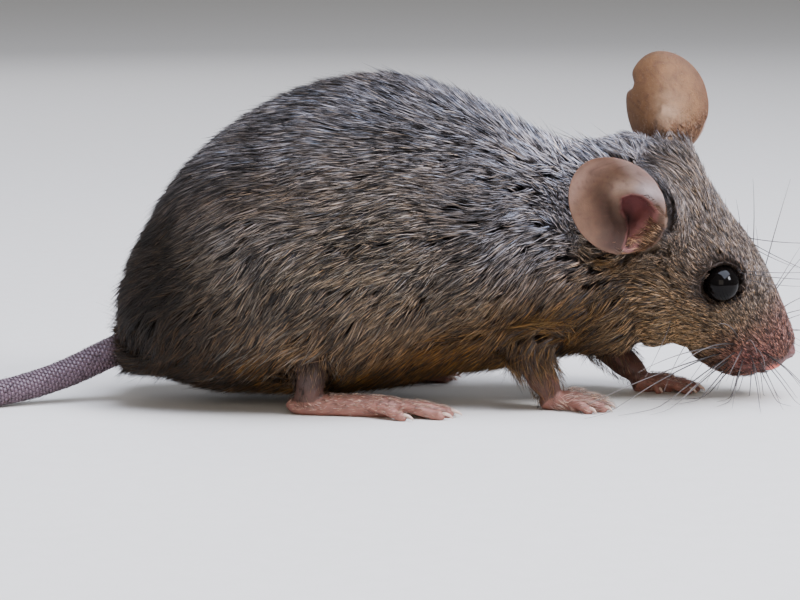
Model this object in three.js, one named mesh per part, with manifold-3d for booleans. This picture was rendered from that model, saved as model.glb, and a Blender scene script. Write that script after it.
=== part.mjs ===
// House mouse, a life-size still model: crouched on four feet with its head low and its tail laid out behind.
// Millimetres. The animal is worked out with +X towards the nose, +Y to its own left and the floor at z = 0,
// and is moved at the end so that the origin is the middle of its footprint. The outline is that of the coat.
import * as THREE from "three";
import { mergeVertices } from "three/addons/utils/BufferGeometryUtils.js";
import Module from "manifold-3d";

// ---- Driving dimensions ----
const GAP = 0.3; // left between neighbouring pieces
const RIGHT = -1; // the sign of y on each side of the body
const LEFT = 1;

// The barrel of the body from rump to neck: matching points [x, z] of the top and the base, and the half width.
const BODY = [
  { top: [-31.9, 11.0], base: [-31.9, 11.0], side: 0 },
  { top: [-31.0, 17.6], base: [-31.0, 4.8], side: 6.2 },
  { top: [-27.5, 23.5], base: [-27.4, 2.2], side: 10.2 },
  { top: [-21.9, 29.3], base: [-21.8, 1.0], side: 13.0 },
  { top: [-15.3, 34.0], base: [-15.0, 0.9], side: 14.3 },
  { top: [-8.0, 36.8], base: [-8.0, 0.9], side: 14.7 },
  { top: [0.4, 37.4], base: [-0.8, 1.4], side: 14.1 },
  { top: [7.4, 35.3], base: [6.4, 3.2], side: 12.9 },
  { top: [13.6, 32.1], base: [12.6, 4.2], side: 11.2 },
  { top: [19.4, 29.8], base: [18.4, 5.2], side: 9.6 },
  { top: [25.2, 30.3], base: [24.4, 5.8], side: 8.5 },
  { top: [30.4, 25.6], base: [30.6, 6.6], side: 6.8 },
  { top: [33.4, 15.5], base: [33.4, 15.5], side: 0 },
];
const PEAR = 0.14; // how much wider the body is low down than high up
// Swellings are raised out of a smooth surface on both sides of it: middle, reach along each axis, and height.
const BODY_SWELLINGS = [
  { at: [-9.5, 13.5, 11.5], reach: [9.5, 9, 9.5], height: 1.7 }, // thigh
  { at: [16.2, 10.0, 14.5], reach: [5.5, 7, 7.5], height: 0.9 }, // shoulder
  { at: [2.5, 12.5, 13.0], reach: [5.5, 6, 12], height: -0.7 }, // hollow of the flank
];

// The head has its own frame: origin at the nose tip, +X forward along the muzzle, +Z to the crown.
const HEAD_AT = [45.0, 1.0, 5.6];
const HEAD_TURN = { yaw: 9, pitch: 41, roll: 34 }; // degrees; the crown leans to the right
const HEAD = [
  { top: [-30.5, 0.8], base: [-30.5, 0.8], side: 0 },
  { top: [-27.5, 7.0], base: [-27.5, -4.6], side: 7.0 },
  { top: [-23.5, 8.8], base: [-23.5, -6.8], side: 7.7 },
  { top: [-19.5, 7.8], base: [-19.5, -8.0], side: 7.2 },
  { top: [-15.5, 6.7], base: [-15.5, -8.3], side: 6.3 },
  { top: [-12.0, 5.9], base: [-12.0, -7.7], side: 5.5 },
  { top: [-8.5, 4.7], base: [-8.3, -6.4], side: 4.7 },
  { top: [-5.0, 3.1], base: [-4.6, -5.9], side: 3.8 },
  { top: [-2.2, 1.6], base: [-1.3, -4.9], side: 2.8 },
  { top: [-0.6, 0.6], base: [0.3, -3.2], side: 1.8 },
  { top: [0.1, -1.2], base: [0.1, -1.2], side: 0 },
];
const HEAD_SWELLINGS = [
  { at: [-12.6, 4.3, -5.0], reach: [6.5, 4.6, 4.4], height: 1.9 }, // cheek
  { at: [-4.4, 3.2, -3.6], reach: [3.1, 2.4, 2.6], height: 1.3 }, // whisker pad
  { at: [-12.5, 4.2, 4.4], reach: [3.0, 2.0, 2.2], height: 0.55 }, // brow
  { at: [-8.0, 3.8, 1.0], reach: [2.6, 2.4, 2.4], height: -0.5 }, // hollow in front of the eye
];
const JAW = { at: [-5.2, 0, -6.3], radii: [4.9, 2.6, 2.3], tilt: -20 };
const NOSE = { at: [-0.35, 0, -0.8], radii: [0.95, 1.35, 1.05] };
const EYE = { at: [-13.05, 4.1, 2.55], radius: 2.1 };

// An ear is a thin cup. Its frame: origin at the root, q up to the tip, p to the front edge, f out of the cup.
const EAR = {
  root: { left: [-24.3, 6.8, 4.6], right: [-22.5, 6.7, 2.2] },
  up: { left: [-0.73, 0.56, 0.39], right: [-0.97, 0.12, 0.21] }, // the right ear is laid further back
  facing: { left: [0.55, 0.82, -0.16], right: [0.14, 0.86, 0.48] },
  centre: [-0.4, 6.5], // p, q of the middle of the blade
  radii: [4.9, 6.1],
  bowl: [0.9, 3.0], // p, q of the deepest point
  depth: 3.0,
  frontCurl: 1.7,
  rearCurl: 0.7,
  flare: 1.5, // how late the cup opens: 1 is a cone
  thick: 0.75,
  rimBlunt: 10, // the higher, the squarer the rim's edge
};
const EAR_NICK = { at: [-4.4, 10.0], radius: 0.8, through: 8 }; // the old tear in the rear edge of the left ear

// Tail: its middle line, then its radius at the root and at the tip.
const TAIL_LINE = [
  [-27.5, 0.0, 7.8],
  [-33.0, -0.5, 5.4],
  [-39.0, -2.4, 2.9],
  [-46.0, -5.4, 1.45],
  [-55.0, -8.8, 1.28],
  [-66.0, -10.6, 1.13],
  [-78.0, -8.6, 0.97],
  [-90.0, -2.6, 0.78],
  [-101.0, 5.2, 0.5],
];
const TAIL_ROOT_RADIUS = 1.85;
const TAIL_TIP_RADIUS = 0.55;
const TAIL_TAPER = 0.7; // below 1, the tail keeps its thickness far back
const TAIL_LENGTHS = 4;

// Hind leg. Places are for the left side, and the right one mirrors them.
const HAUNCH = { at: [-10.4, 14.0, 10.0], radii: [10.4, 7.0, 12.0], tilt: 16 };
const HIND = {
  heel: { left: [-10.6, 9.2], right: [-11.3, 9.6] },
  toeOut: { left: 14, right: 9 }, // degrees
  sole: 11.4, // heel to the roots of the middle digits
  soleRadius: [1.35, 1.5],
  // How far along the foot each digit starts, how far out from its middle, its splay, length and radius.
  digits: [
    { from: 8.4, out: -1.35, splay: -20, length: 3.0, radius: 0.56 },
    { from: 10.6, out: -1.05, splay: -9, length: 5.7, radius: 0.6 },
    { from: 11.0, out: -0.25, splay: -1, length: 6.2, radius: 0.62 },
    { from: 10.8, out: 0.6, splay: 8, length: 5.7, radius: 0.6 },
    { from: 8.8, out: 1.35, splay: 22, length: 3.8, radius: 0.56 },
  ],
  claw: 1.3,
};
const SHANK = { ankle: [1.1, 0, 1.3], knee: [2.0, 0.6, 8.5], radius: [1.6, 2.7] }; // measured from the heel

// Fore leg.
const FORE = {
  heel: { left: [28.2, 5.4], right: [17.0, 6.6] },
  toeOut: { left: 2, right: 12 },
  sole: 2.9,
  soleRadius: [1.25, 1.4],
  digits: [
    { from: 0.9, out: -1.2, splay: -45, length: 1.0, radius: 0.46 },
    { from: 2.3, out: -1.1, splay: -24, length: 3.1, radius: 0.52 },
    { from: 2.7, out: -0.4, splay: -7, length: 3.6, radius: 0.55 },
    { from: 2.7, out: 0.4, splay: 9, length: 3.5, radius: 0.55 },
    { from: 2.2, out: 1.1, splay: 27, length: 2.8, radius: 0.52 },
  ],
  claw: 0.9,
};
const ELBOW = { left: [21.0, 8.0, 8.6], right: [14.0, 8.4, 9.4] };
const FOREARM_RADIUS = [1.25, 2.5]; // at the wrist and the elbow
const SHOULDER = { at: [15.8, 11.5, 14.0], radii: [5.0, 5.0, 8.2], tilt: -20 };

const WRIST = [0.2, 0, 1.3]; // from the heel
const FOREARM_BEND = { share: 0.38, back: 0.7 }; // where the forearm bows back, as a share of the way to the elbow

// A sole: how far it runs past the heel and the ball, and its middle's height at the heel, the arch and the ball,
// as shares of its half width there.
const SOLE = { past: 0.6, heel: 0.65, arch: 0.7, ball: 0.6, squash: 0.85 };
// A digit: it starts inside the sole, arches over its knuckle and comes down to its pad and claw.
const DIGIT = {
  start: [-0.9, 1.15], // along and up, in mm
  knuckle: [0.4, 1.8], // as shares of its length and of its radius, as are the pad and the claw's tip
  pad: [0.82, 0.95],
  clawTip: [0.9, 0.3], // along as a share of the claw's length
  swell: 1.05, // its thickness up to the claw
  clawFrom: 0.8, // the share of the way along at which the claw starts
  clawTaper: 1.6,
};
const CLAW_THICKNESS = 0.45; // of its digit's, at the tip

// Where the barrel is parted into trunk, neck and head, as x on the back and on the belly.
const NECK_BACK = [18.6, 21.4];
const NECK_FRONT = [22.6, 29.4];
const NECK_HEIGHT = 30; // from the belly to the back

const MATERIALS = {
  back_coat: { color: 0x6d635c, roughness: 0.75 },
  face_coat: { color: 0x7c6c5e, roughness: 0.75 },
  belly_coat: { color: 0x75654f, roughness: 0.8 },
  bare_skin: { color: 0xb98f88, roughness: 0.5 },
  ear_skin: { color: 0xb08a70, roughness: 0.5 },
  tail_skin: { color: 0x98808a, roughness: 0.55 },
  eye_black: { color: 0x0a0909, roughness: 0.06 },
};

// ---- Tools ----
const wasm = await Module();
wasm.setup();
const radians = THREE.MathUtils.degToRad;
const vector = (at) => new THREE.Vector3(...at);
const mirrored = ([x, y, z], side) => [x, y * side, z];
const nameOf = (side) => (side === LEFT ? "left" : "right");

// A closed three.js geometry as a solid that can be joined and cut.
function solid(geometry, matrix = new THREE.Matrix4()) {
  const bare = geometry.clone().applyMatrix4(matrix);
  bare.deleteAttribute("normal");
  bare.deleteAttribute("uv");
  const merged = mergeVertices(bare, 1e-4);
  const triVerts = new Uint32Array(merged.index.array);
  return new wasm.Manifold(
    new wasm.Mesh({ numProp: 3, vertProperties: merged.attributes.position.array, triVerts }),
  );
}

// The largest piece of a solid, which drops any crumbs that a cut leaves.
function largest(shape) {
  return shape.decompose().sort((a, b) => b.volume() - a.volume())[0];
}

// A sphere whose points are put elsewhere: place(turn, travel, point) is given the way round and from pole to pole.
function wrapped(around, along, place) {
  const geometry = new THREE.SphereGeometry(1, around, along);
  const { position } = geometry.attributes;
  const point = new THREE.Vector3();
  for (let i = 0; i < position.count; i++) {
    const row = Math.floor(i / (around + 1));
    const column = i % (around + 1) % around; // the last column is the first again
    place((column / around) * 2 * Math.PI, row / along, point);
    position.setXYZ(i, point.x, point.y, point.z);
  }
  return geometry;
}

function ellipsoid(at, radii, tilt, around, along, grow = 0) {
  const size = vector(radii).addScalar(grow);
  const turn = new THREE.Quaternion().setFromEuler(new THREE.Euler(0, radians(tilt), 0));
  const matrix = new THREE.Matrix4().compose(vector(at), turn, size);
  return solid(new THREE.SphereGeometry(1, around, along), matrix);
}

// A round limb, digit or tail along a curve. radius(s) is its radius, and squash its height over its width.
function limb(curve, radius, { around, along, squash = 1, blunt = 8, grow = 0 }) {
  const up = new THREE.Vector3(0, 0, 1);
  const geometry = wrapped(around, along, (turn, travel, point) => {
    const s = (1 - Math.cos(Math.PI * travel)) / 2;
    const end = 2 * s - 1;
    const tangent = curve.getTangent(s);
    const side = new THREE.Vector3().crossVectors(up, tangent).normalize();
    const rise = new THREE.Vector3().crossVectors(tangent, side);
    const r = (radius(s) + grow) * Math.sqrt(Math.max(0, 1 - Math.abs(end) ** blunt));
    point.copy(curve.getPoint(s)).addScaledVector(tangent, grow * end);
    point.addScaledVector(rise, r * squash * Math.cos(turn));
    point.addScaledVector(side, r * Math.sin(turn));
  });
  return solid(geometry);
}

const between = (a, b) => (s) => a + (b - a) * s;
const curveThrough = (points) => new THREE.CatmullRomCurve3(points.map(vector));

// ---- Head frame ----
const headMatrix = new THREE.Matrix4().compose(
  vector(HEAD_AT),
  new THREE.Quaternion().setFromEuler(
    new THREE.Euler(radians(HEAD_TURN.roll), radians(HEAD_TURN.pitch), radians(HEAD_TURN.yaw), "ZYX"),
  ),
  new THREE.Vector3(1, 1, 1),
);
const inHead = (shape) => shape.transform(headMatrix.elements);
const headLump = ({ at, radii, tilt = 0 }, side, around, along, grow = 0) =>
  inHead(ellipsoid(mirrored(at, side), radii, tilt, around, along, grow));

// ---- Flesh ----
const reach = new THREE.Vector3();
const outward = new THREE.Vector3();

// Raises the swellings at a point whose middle line is at the given height.
function swell(point, middleZ, swellings) {
  outward.set(0, point.y, point.z - middleZ);
  if (outward.length() < 1e-6) return; // an end, which stays one point
  outward.normalize();
  for (const { at, reach: size, height } of swellings) {
    reach.set(point.x - at[0], Math.abs(point.y) - at[1], point.z - at[2]).divide(vector(size));
    point.addScaledVector(outward, height * Math.exp(-reach.lengthSq()));
  }
}

// A smooth closed body through stations, each an ellipse between its top and its base, widest below by pear.
function loft(stations, swellings, pear, around, along) {
  const tops = curveThrough(stations.map(({ top: [x, z] }) => [x, 0, z]));
  const bases = curveThrough(stations.map(({ base: [x, z] }) => [x, 0, z]));
  const widths = curveThrough(stations.map(({ side }, i) => [i, side, 0]));
  const middle = new THREE.Vector3();
  const half = new THREE.Vector3();
  const geometry = wrapped(around, along, (turn, travel, point) => {
    const top = tops.getPoint(travel);
    const base = bases.getPoint(travel);
    middle.addVectors(top, base).multiplyScalar(0.5);
    half.subVectors(top, base).multiplyScalar(0.5);
    point.copy(middle).addScaledVector(half, Math.cos(turn));
    point.y = Math.max(0, widths.getPoint(travel).y) * Math.sin(turn) * (1 - pear * Math.cos(turn));
    swell(point, middle.z, swellings);
  });
  return solid(geometry);
}

const eyeSolid = (side, grow = 0) =>
  inHead(ellipsoid(mirrored(EYE.at, side), Array(3).fill(EYE.radius), 0, 12, 8, grow));

// ---- Ears ----
function earFrame(side) {
  const name = nameOf(side);
  const facing = vector(mirrored(EAR.facing[name], side)).normalize();
  const up = vector(mirrored(EAR.up[name], side));
  up.addScaledVector(facing, -up.dot(facing)).normalize();
  // The front edge is the same way round on both ears, so the frame is left-handed on one of them.
  const front = new THREE.Vector3().crossVectors(facing, up).multiplyScalar(side);
  return new THREE.Matrix4()
    .makeBasis(front, up, facing)
    .setPosition(vector(mirrored(EAR.root[name], side)))
    .premultiply(headMatrix);
}

// A point of the cup: rho runs from its deepest point to the rim, and turn goes round it.
function earPoint(rho, turn) {
  const rimP = EAR.centre[0] + EAR.radii[0] * Math.sin(turn);
  const rimQ = EAR.centre[1] + EAR.radii[1] * Math.cos(turn);
  const p = EAR.bowl[0] + (rimP - EAR.bowl[0]) * rho;
  const q = EAR.bowl[1] + (rimQ - EAR.bowl[1]) * rho;
  const across = Math.sin(turn);
  const curl = across > 0 ? EAR.frontCurl * across : -EAR.rearCurl * across;
  const dip = EAR.depth * (1 - rho ** EAR.flare);
  return new THREE.Vector3(p, q, curl * rho ** 2 - dip);
}

// With clear, the shell is filled that far above its inner face, to cut the pocket that it sits in.
function earShell(side, grow = 0, clear = 0) {
  const spread = 1 + grow / Math.min(...EAR.radii);
  const place = (turn, travel, point) => {
    const rho = Math.sin(Math.PI * travel);
    const inner = travel < 0.5;
    point.copy(earPoint(rho * spread, turn));
    const lift = EAR.thick / 2 + grow + (inner ? clear : 0);
    point.z += (inner ? lift : -lift) * Math.sqrt(Math.max(0, 1 - rho ** EAR.rimBlunt));
  };
  const geometry = wrapped(16, 10, place);
  return solid(side === RIGHT ? reversed(geometry) : geometry, earFrame(side));
}

// A geometry with its faces turned the other way: the left ear's frame is a mirror image, which turns faces over.
function reversed(geometry) {
  const index = geometry.index.array;
  for (let i = 0; i < index.length; i += 3) {
    [index[i + 1], index[i + 2]] = [index[i + 2], index[i + 1]];
  }
  return geometry;
}

// ---- Feet ----
function footMatrix(plan, side) {
  const [x, y] = plan.heel[nameOf(side)];
  return new THREE.Matrix4()
    .makeRotationZ(radians(plan.toeOut[nameOf(side)]) * side)
    .setPosition(x, y * side, 0);
}

function footSolid(plan, side, grow = 0) {
  const [heelRadius, ballRadius] = plan.soleRadius;
  const sole = limb(
    curveThrough([
      [-SOLE.past, 0, heelRadius * SOLE.heel],
      [plan.sole / 2, 0, ballRadius * SOLE.arch],
      [plan.sole + SOLE.past, 0, ballRadius * SOLE.ball],
    ]),
    between(heelRadius, ballRadius),
    { around: 8, along: 5, squash: SOLE.squash, grow },
  );
  // A digit and its claw are one tapering limb.
  const digits = plan.digits.map(({ from, out, splay, length, radius }) => {
    const turn = radians(splay) * side;
    const point = (along, z) => [from + along * Math.cos(turn), out * side + along * Math.sin(turn), z];
    const line = curveThrough([
      point(...DIGIT.start),
      point(length * DIGIT.knuckle[0], radius * DIGIT.knuckle[1]),
      point(length * DIGIT.pad[0], radius * DIGIT.pad[1]),
      point(length + plan.claw * DIGIT.clawTip[0], radius * DIGIT.clawTip[1]),
    ]);
    const thickness = (s) =>
      radius * (s < DIGIT.clawFrom ? DIGIT.swell : CLAW_THICKNESS + (1 - s) * DIGIT.clawTaper);
    return limb(line, thickness, { around: 5, along: 5, grow });
  });
  const whole = [sole, ...digits].reduce((a, b) => a.add(b));
  return whole.transform(footMatrix(plan, side).elements).subtract(underfloor);
}

// ---- Legs ----
const footPoint = (plan, side, at) =>
  vector(mirrored(at, side)).applyMatrix4(footMatrix(plan, side)).toArray();

function shankSolid(side, grow = 0) {
  const [ankle, knee] = [SHANK.ankle, SHANK.knee].map((at) => footPoint(HIND, side, at));
  return limb(curveThrough([ankle, knee]), between(...SHANK.radius), { around: 10, along: 5, grow });
}

function forearmSolid(side, grow = 0) {
  const wrist = footPoint(FORE, side, WRIST);
  const elbow = mirrored(ELBOW[nameOf(side)], side);
  const { share, back } = FOREARM_BEND;
  const middle = wrist.map((w, i) => w * (1 - share) + elbow[i] * share - (i === 0 ? back : 0));
  return limb(curveThrough([wrist, middle, elbow]), between(...FOREARM_RADIUS), { around: 10, along: 5, grow });
}

// The lens-shaped block that parts the thigh or the upper arm from the flank.
const parting = ({ at, radii, tilt }, side, grow = 0) =>
  ellipsoid(mirrored(at, side), radii, tilt, 18, 6, grow);

// ---- Tail ----
const tailCurve = curveThrough(TAIL_LINE);
const tailRadius = (s) => TAIL_TIP_RADIUS + (TAIL_ROOT_RADIUS - TAIL_TIP_RADIUS) * (1 - s) ** TAIL_TAPER;
const tailSolid = (grow = 0) =>
  limb(tailCurve, tailRadius, { around: 8, along: 26, blunt: 60, grow }).subtract(underfloor);

// A thin wall across the tail at s, which parts it.
function tailCut(s) {
  const across = 3 * TAIL_ROOT_RADIUS;
  const turn = new THREE.Quaternion().setFromUnitVectors(new THREE.Vector3(1, 0, 0), tailCurve.getTangent(s));
  const matrix = new THREE.Matrix4().compose(tailCurve.getPoint(s), turn, new THREE.Vector3(1, 1, 1));
  return solid(new THREE.BoxGeometry(GAP, across, across), matrix);
}

// ---- Blocks that cut ----
const FAR = 200;
const underfloor = solid(new THREE.BoxGeometry(2 * FAR, 2 * FAR, FAR).translate(0, 0, -FAR / 2));

// All that lies behind a plane across the neck, given by its x at the back and at the belly.
function behindPlane([high, low], shift = 0) {
  const outline = new THREE.Shape([
    new THREE.Vector2(-FAR, -FAR),
    new THREE.Vector2(low + shift - ((high - low) * FAR) / NECK_HEIGHT, -FAR),
    new THREE.Vector2(high + shift + ((high - low) * FAR) / NECK_HEIGHT, FAR + NECK_HEIGHT),
    new THREE.Vector2(-FAR, FAR),
  ]);
  const block = new THREE.ExtrudeGeometry(outline, { depth: 2 * FAR, bevelEnabled: false });
  return solid(block.rotateX(Math.PI / 2).translate(0, FAR, 0));
}

// ---- The animal ----
const mouse = new THREE.Group();

function addPiece(name, shape, material) {
  const { vertProperties, triVerts, numProp, numVert } = largest(shape).getMesh();
  const points = new Float32Array(numVert * 3);
  for (let i = 0; i < numVert; i++) {
    points.set(vertProperties.subarray(i * numProp, i * numProp + 3), i * 3);
  }
  const geometry = new THREE.BufferGeometry();
  geometry.setAttribute("position", new THREE.BufferAttribute(points, 3));
  geometry.setIndex(new THREE.BufferAttribute(triVerts, 1));
  geometry.computeVertexNormals();
  const mesh = new THREE.Mesh(geometry, new THREE.MeshStandardMaterial({ metalness: 0, ...material }));
  mesh.name = name;
  mouse.add(mesh);
}

const cut = (shape, ...others) => others.reduce((a, b) => a.subtract(b), shape);
const sides = [
  [LEFT, "left"],
  [RIGHT, "right"],
];

// Limbs. Each block is a limb grown by the gap, to clear the flesh around it.
const limbBlocks = [];
for (const [side, name] of sides) {
  const hindFootBlock = footSolid(HIND, side, GAP);
  const foreFootBlock = footSolid(FORE, side, GAP);
  addPiece(`hind_foot_${name}`, footSolid(HIND, side), MATERIALS.bare_skin);
  addPiece(`fore_foot_${name}`, footSolid(FORE, side), MATERIALS.bare_skin);
  addPiece(`shank_${name}`, cut(shankSolid(side), hindFootBlock), MATERIALS.bare_skin);
  addPiece(`forearm_${name}`, cut(forearmSolid(side), foreFootBlock), MATERIALS.belly_coat);
  limbBlocks.push(hindFootBlock, foreFootBlock, shankSolid(side, GAP), forearmSolid(side, GAP));
}

// Tail, parted into equal lengths.
const cutsAt = Array.from({ length: TAIL_LENGTHS - 1 }, (_, i) => (i + 1) / TAIL_LENGTHS);
const tailPieces = cut(tailSolid(), ...cutsAt.map(tailCut)).decompose();
tailPieces.sort((a, b) => b.boundingBox().max[0] - a.boundingBox().max[0]);
tailPieces.forEach((piece, i) => addPiece(`tail_${i + 1}`, piece, MATERIALS.tail_skin));

// Sense organs and jaw.
for (const [side, name] of sides) {
  const nick = new THREE.CylinderGeometry(EAR_NICK.radius, EAR_NICK.radius, EAR_NICK.through, 12);
  nick.rotateX(Math.PI / 2).translate(...EAR_NICK.at, 0);
  const shell = earShell(side);
  const torn = side === LEFT ? shell.subtract(solid(reversed(nick), earFrame(side))) : shell;
  addPiece(`ear_${name}`, torn, MATERIALS.ear_skin);
  addPiece(`eye_${name}`, eyeSolid(side), MATERIALS.eye_black);
}
const noseBlock = headLump(NOSE, LEFT, 10, 7, GAP);
addPiece("nose", headLump(NOSE, LEFT, 10, 7), MATERIALS.bare_skin);
addPiece("lower_jaw", cut(headLump(JAW, LEFT, 12, 8), noseBlock), MATERIALS.face_coat);

// The flesh is one smooth body, cleared for all the pieces above and then parted.
const headBlocks = [noseBlock, headLump(JAW, LEFT, 12, 8, GAP)];
for (const [side] of sides) {
  headBlocks.push(eyeSolid(side, GAP), earShell(side, GAP, EAR.depth));
}
const barrel = loft(BODY, BODY_SWELLINGS, PEAR, 24, 26);
const skull = inHead(loft(HEAD, HEAD_SWELLINGS, 0, 20, 22));
let flesh = cut(barrel.add(skull), underfloor, tailSolid(GAP), ...limbBlocks, ...headBlocks);
for (const [side, name] of sides) {
  addPiece(`haunch_${name}`, flesh.intersect(parting(HAUNCH, side)), MATERIALS.back_coat);
  addPiece(`upper_arm_${name}`, flesh.intersect(parting(SHOULDER, side)), MATERIALS.back_coat);
  flesh = cut(flesh, parting(HAUNCH, side, GAP), parting(SHOULDER, side, GAP));
}
addPiece("head", cut(flesh, behindPlane(NECK_FRONT, GAP)), MATERIALS.face_coat);
addPiece("neck", cut(flesh.intersect(behindPlane(NECK_FRONT)), behindPlane(NECK_BACK, GAP)), MATERIALS.back_coat);
addPiece("trunk", flesh.intersect(behindPlane(NECK_BACK)), MATERIALS.back_coat);

// The origin goes to the middle of the footprint, on the floor.
const middle = new THREE.Box3().setFromObject(mouse).getCenter(new THREE.Vector3());
mouse.position.set(-middle.x, -middle.y, 0);

export default mouse;
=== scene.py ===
"""A house mouse, life size and still, hunched on all fours with its head turned and lowered.

Lengths in the tables are millimetres in the mouse's own frame: +X to the nose, +Y to its left, and
the floor at z = 0.
"""
import math
from types import SimpleNamespace

import bmesh
import bpy
import numpy as np
from bpy.props import FloatProperty, FloatVectorProperty, IntProperty, PointerProperty
from mathutils import Matrix, Vector
from mathutils.bvhtree import BVHTree


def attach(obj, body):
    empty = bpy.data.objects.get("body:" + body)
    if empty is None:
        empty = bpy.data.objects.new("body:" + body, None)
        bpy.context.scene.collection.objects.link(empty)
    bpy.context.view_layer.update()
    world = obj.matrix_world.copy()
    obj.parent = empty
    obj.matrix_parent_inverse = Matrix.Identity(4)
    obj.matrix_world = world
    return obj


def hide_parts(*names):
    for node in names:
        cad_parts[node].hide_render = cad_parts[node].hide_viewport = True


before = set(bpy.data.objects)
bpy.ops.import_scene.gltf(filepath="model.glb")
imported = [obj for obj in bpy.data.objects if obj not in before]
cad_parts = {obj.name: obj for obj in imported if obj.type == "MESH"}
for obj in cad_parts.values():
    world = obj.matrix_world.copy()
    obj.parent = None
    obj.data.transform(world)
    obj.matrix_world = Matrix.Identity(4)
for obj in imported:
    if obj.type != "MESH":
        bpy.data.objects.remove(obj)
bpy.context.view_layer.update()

bl_info = {
    "name": "House mouse",
    "version": (1, 0, 0),
    "blender": (4, 5, 0),
    "location": "3D View > Sidebar > Mouse",
    "description": "Builds a life-size house mouse with its skin, coat, eyes, claws and whiskers",
    "category": "Object",
}

MM = 0.001
ORIGIN = np.array([27.878170013427734, 0.0, 0.0])  # from the mouse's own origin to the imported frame's
LEFT, RIGHT = 1, -1
SIDES = ((LEFT, "left"), (RIGHT, "right"))
SEED = 11
ELBOWS = ((21.0, 8.0, 8.6), (14.0, -8.4, 9.4))  # left and right
DULLNESS = {"ear": 0.82, "nose": 0.52, "tail": 0.5, "other": 0.58}  # roughness of the bare skin
SAME_POINT = 1e-3  # corners of the solids nearer than this are one
FLOOR_GAP = 0.03  # the lowest hair over the floor
ROOT_DEPTH = 0.05  # how far a tuft is sunk in the skin
LOOSE_TUFTS = 0.3  # the share of a lock's tufts that don't draw together, which hides the skin between locks
ZONE_ENDS = (-14.0, 4.0)  # where the rump's coat ends along the body, and the barrel's
MIDDLE_LINE = ((-30, 0, 25), (11, 18, 17))  # the height of the body's middle at three places along it
PATCH = 0.003  # a tuft's width on the unwrap
DIGIT_STOPS = 28  # points along a toe or a finger
CLAW_STOPS = 14  # points along a claw
CLAW_POINT = 0.015  # the radius of a claw's tip
FLAT_UNDER = 0.12  # a foot is pressed flat below this height

# ---- The animal's plan, as the CAD has it ----
HEAD_AT = np.array([45.0, 1.0, 5.6])  # tip of the nose
HEAD_TURN = {"yaw": 9, "pitch": 41, "roll": 34}  # degrees
EYE_AT = np.array([-13.05, 4.1, 2.55])
EYE_RADIUS = 2.1
LID_OPENING = 66.0  # degrees from the middle of the eye to the lid's edge
EAR = {
    "root": {LEFT: (-24.3, 6.8, 4.6), RIGHT: (-22.5, 6.7, 2.2)},
    "up": {LEFT: (-0.73, 0.56, 0.39), RIGHT: (-0.97, 0.12, 0.21)},
    "facing": {LEFT: (0.55, 0.82, -0.16), RIGHT: (0.14, 0.86, 0.48)},
    "centre": (-0.4, 6.5),
    "radii": (4.9, 6.1),
    "bowl": (0.9, 3.0),
    "depth": 3.0,
    "front_curl": 1.7,
    "rear_curl": 0.7,
    "wall": 0.36,  # half the wall's thickness at the bowl
    "relief_behind": 0.45,  # the share of the cup's relief that shows on its back
}
CONCHA = {  # the dark hollow in the cup, with the notch that runs down and back from it, in p and q
    "edge": [
        (0.7, 5.7), (1.8, 5.3), (2.5, 4.6), (2.75, 3.6), (2.6, 2.5), (1.7, 1.7), (0.4, 1.4),
        (-1.2, 1.1), (-2.6, 1.3), (-2.9, 1.9), (-2.0, 2.2), (-1.0, 2.6), (-0.4, 3.4), (-0.3, 4.6),
    ],
    "depth": 0.9,
}
EAR_GRID = {"around": 104, "out": 38}  # points round an ear, and from its bowl to its rim
EAR_NICK = {"at": (-4.4, 10.0), "radius": 0.8, "depth": 0.9}
TAIL_LINE = [
    (-27.5, 0.0, 7.8), (-33.0, -0.5, 5.4), (-39.0, -2.4, 2.9), (-46.0, -5.4, 1.45), (-55.0, -8.8, 1.28),
    (-66.0, -10.6, 1.13), (-78.0, -8.6, 0.97), (-90.0, -2.6, 0.78), (-101.0, 5.2, 0.5),
]
TAIL_ROOT_RADIUS, TAIL_TIP_RADIUS = 1.85, 0.55
TAIL_CLEAR = 0.02  # between the tail and the floor
SCALE_SUNK = 0.09  # how far a ring of scales is sunk in the tail's skin

# The whiskers, in the head's frame: each row's height and number, and the middle that they fan out from.
WHISKER_ROWS = ((-1.2, 6), (-2.0, 6), (-2.8, 6), (-3.6, 6), (-4.3, 4))
PAD_MIDDLE = np.array([-4.4, 3.4, -2.9])
WHISKER_STOPS = 14  # points along a whisker
WHISKER_LOW = 0.15  # the lowest whisker over the floor
# Long single hairs: the place of each root and the length.
BROW_HAIRS = ((-12.0, 4.2, 5.2, 15.0), (-12.6, 4.0, 5.3, 12.0), (-11.2, 4.0, 5.0, 7.0))
CHEEK_HAIRS = ((-14.5, 6.0, -4.0, 9.0), (-10.5, 5.5, -5.5, 7.0))
HIND = {
    "heel": {LEFT: (-10.6, 9.2), RIGHT: (-11.3, 9.6)},
    "toe_out": {LEFT: 14, RIGHT: 9},
    "sole": 11.4,
    "sole_radius": (1.35, 1.5),
    "digits": [  # where it starts along and out from the middle of the foot, splay, length, radius
        (8.4, -1.35, -20, 3.0, 0.56),
        (10.6, -1.05, -9, 5.7, 0.6),
        (11.0, -0.25, -1, 6.2, 0.62),
        (10.8, 0.6, 8, 5.7, 0.6),
        (8.8, 1.35, 22, 3.8, 0.56),
    ],
    "claw": 1.3,
    "joint": (1.1, 0.0, 1.3),  # the ankle, from the heel
    "above": {LEFT: (2.0, 0.6, 8.5), RIGHT: (2.0, 0.6, 8.5)},  # the knee, from the heel
    "leg_radius": (1.45, 1.5, 1.75),
}
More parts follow.
